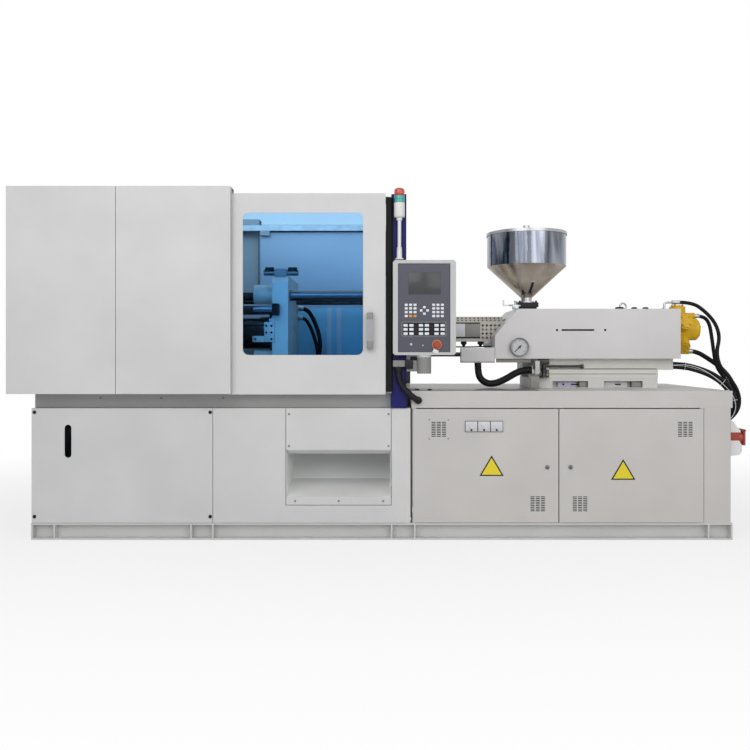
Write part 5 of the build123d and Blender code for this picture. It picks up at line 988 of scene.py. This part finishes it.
# Bare yellow triangles with a black edge on the cabinet doors
triangles = {
    "front": -0.55, "plate": 0.001, "half": 0.073, "layers": ((1.0, 0.0, 1), (0.82, 0.0004, 0)),
    "signs": (("Left", "left_cabinet_door", 0.659, 0.384, 0.507),
        ("Right", "right_cabinet_door", 1.449, 0.361, 0.485)),
}
for side, body, x, low, high in triangles["signs"]:
    middle = low + (high - low) / 3
    for grow, lift, tone in triangles["layers"]:
        outline = [(x + grow * reach, triangles["front"] - lift, middle + grow * (z - middle))
                   for reach, z in ((-triangles["half"], low), (triangles["half"], low), (0, high))]
        addPrism(outline, (0, -triangles["plate"], 0), tone)
    addPiece("bareTriangle" + side, "labelYellow blackPlastic", body, "yellow_paint")

# Key slots of the locks
locks = {
    "z": 0.436, "front": -0.554, "places": (("left", 0.993), ("right", 1.133)), "slot": (0.0012, 0.0075),
    "face": [(0.0095, 0), (0.0095, 0.0012), (0.0086, 0.0016), (0, 0.0016)],
    "slotShape": (0.002, -0.001, 0),
}
for side, x in locks["places"]:
    z = locks["z"]
    wide, high = locks["slot"]
    addLathe(locks["face"], (x, locks["front"], z), out, segments=24)
    addPlate(x - wide, x + wide, z - high, z + high, locks["front"], locks["slotShape"], tone=1)
    addPiece(side + "KeyFace", "lockSteel blackPlastic", side + "_lock", "lock_chrome")

# Dark backs of the vents, painted shade in the slots, and screws round the first one
vents = {
    "half": 0.049, "margin": 0.008, "front": -0.55, "shape": (-0.001, 0.0016, 0), "head": (0.0045, 0.003),
    "places": (("left_cabinet_door", 0.342, 0.664), ("left_cabinet_door", 0.936, 0.216),
        ("right_cabinet_door", 1.19, 0.216), ("right_cabinet_door", 1.822, 0.664)),
}
half = vents["half"]
for index, (body, x, z) in enumerate(vents["places"]):
    addPlate(x - half, x + half, z - half, z + half, vents["front"], vents["shape"])
    addPiece("ventBack" + str(index + 1), "darkPaint", body, "dark_paint")
body, x, z = vents["places"][0]
reach = half + vents["margin"]
for signX, signZ in fourSigns:
    addScrew((x + signX * reach, vents["front"], z + signZ * reach), out, *vents["head"])
addPiece("ventScrews", "shadePaint", body, "zinc_steel")

# Blue and pale panes inside the rear door, seen through the window; their bright colours are painted light,
# standing in for light shining through the rear door
rearPanes = {
    "left": -0.892, "right": -0.06, "front": 0.556, "low": 1.0, "middle": 1.452, "high": 2.016,
    "paneShape": (0, 0.005, 0.001), "edge": 0.012, "edgeShape": (0.006, 0.005, 0.001),
    "bars": (-0.398, -0.326), "barWidth": 0.036, "barShape": (0.008, 0.001, 0.002),
}
left, far, front = rearPanes["left"], rearPanes["right"], rearPanes["front"]
low, middle, high = rearPanes["low"], rearPanes["middle"], rearPanes["high"]
addPlate(left, far, low, middle, front, rearPanes["paneShape"])
addPlate(left, far, middle, high, front, rearPanes["paneShape"], tone=1)
addPlate(left, far, high, high + rearPanes["edge"], front, rearPanes["edgeShape"], tone=2)
for x in rearPanes["bars"]:
    addPlate(x, x + rearPanes["barWidth"], low, middle, front, rearPanes["barShape"], tone=1)
addPiece("rearPanes", "rearBlue rearPale darkPaint", "rear_door", "panel_paint")

# Dark end caps of the door handle
handle = {"topCap": 0.04, "footCap": 0.048, "proud": 0.0012, "backGap": 0.001, "soften": 0.003}
low, high = nodeBox("front_door_handle")
proud = handle["proud"]
back = high[1] - handle["backGap"]
for capLow, capHigh in ((high[2] - handle["topCap"], high[2] + proud),
                        (low[2] - proud, low[2] + handle["footCap"])):
    addSlab((low[0] - proud, low[1] - proud, capLow), (high[0] + proud, back, capHigh), handle["soften"])
addPiece("handleCaps", "shadePaint", "front_door", "grey_plastic")

# Power socket: sloped white top, red collar, rounded white barrel and the red nose that the flap shuts
socket = {
    "near": -0.5, "far": -0.4, "inset": 0.004,
    "top": [(2.094, 0.711), (2.126, 0.711), (2.178, 0.648), (2.178, 0.64), (2.094, 0.64)],
    "collar": [(2.094, 0.64), (2.168, 0.64), (2.168, 0.59), (2.094, 0.59)],
    "barrel": [(2.094, 0.59), (2.168, 0.59), (2.186, 0.562), (2.186, 0.526), (2.172, 0.505),
        (2.132, 0.498), (2.094, 0.498)], "noseRoot": (2.15, -0.45, 0.605), "noseRadius": 0.038,
    "nose": [(1, 0), (1, 0.0485), (0.8, 0.0485), (0.8, 0.0285), (0, 0.0285)],
}
for part, shrink, tone in (("top", 0, 0), ("collar", socket["inset"], 1), ("barrel", 0, 0)):
    addPrism([(x, socket["near"] + shrink, z) for x, z in socket[part]],
             (0, socket["far"] - socket["near"] - 2 * shrink, 0), tone)
addLathe(scaled(socket["nose"], socket["noseRadius"]), socket["noseRoot"], right, segments=28, tone=1)
addPiece("socketBody", "whitePlastic redPlastic", "machine_base", "white_plastic", "socket_housing")
print("stage 9: doors, motor and fittings dressed")

size = {"cad": [list(corner) for corner in cadBox], "visual": [list(corner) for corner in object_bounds()]}
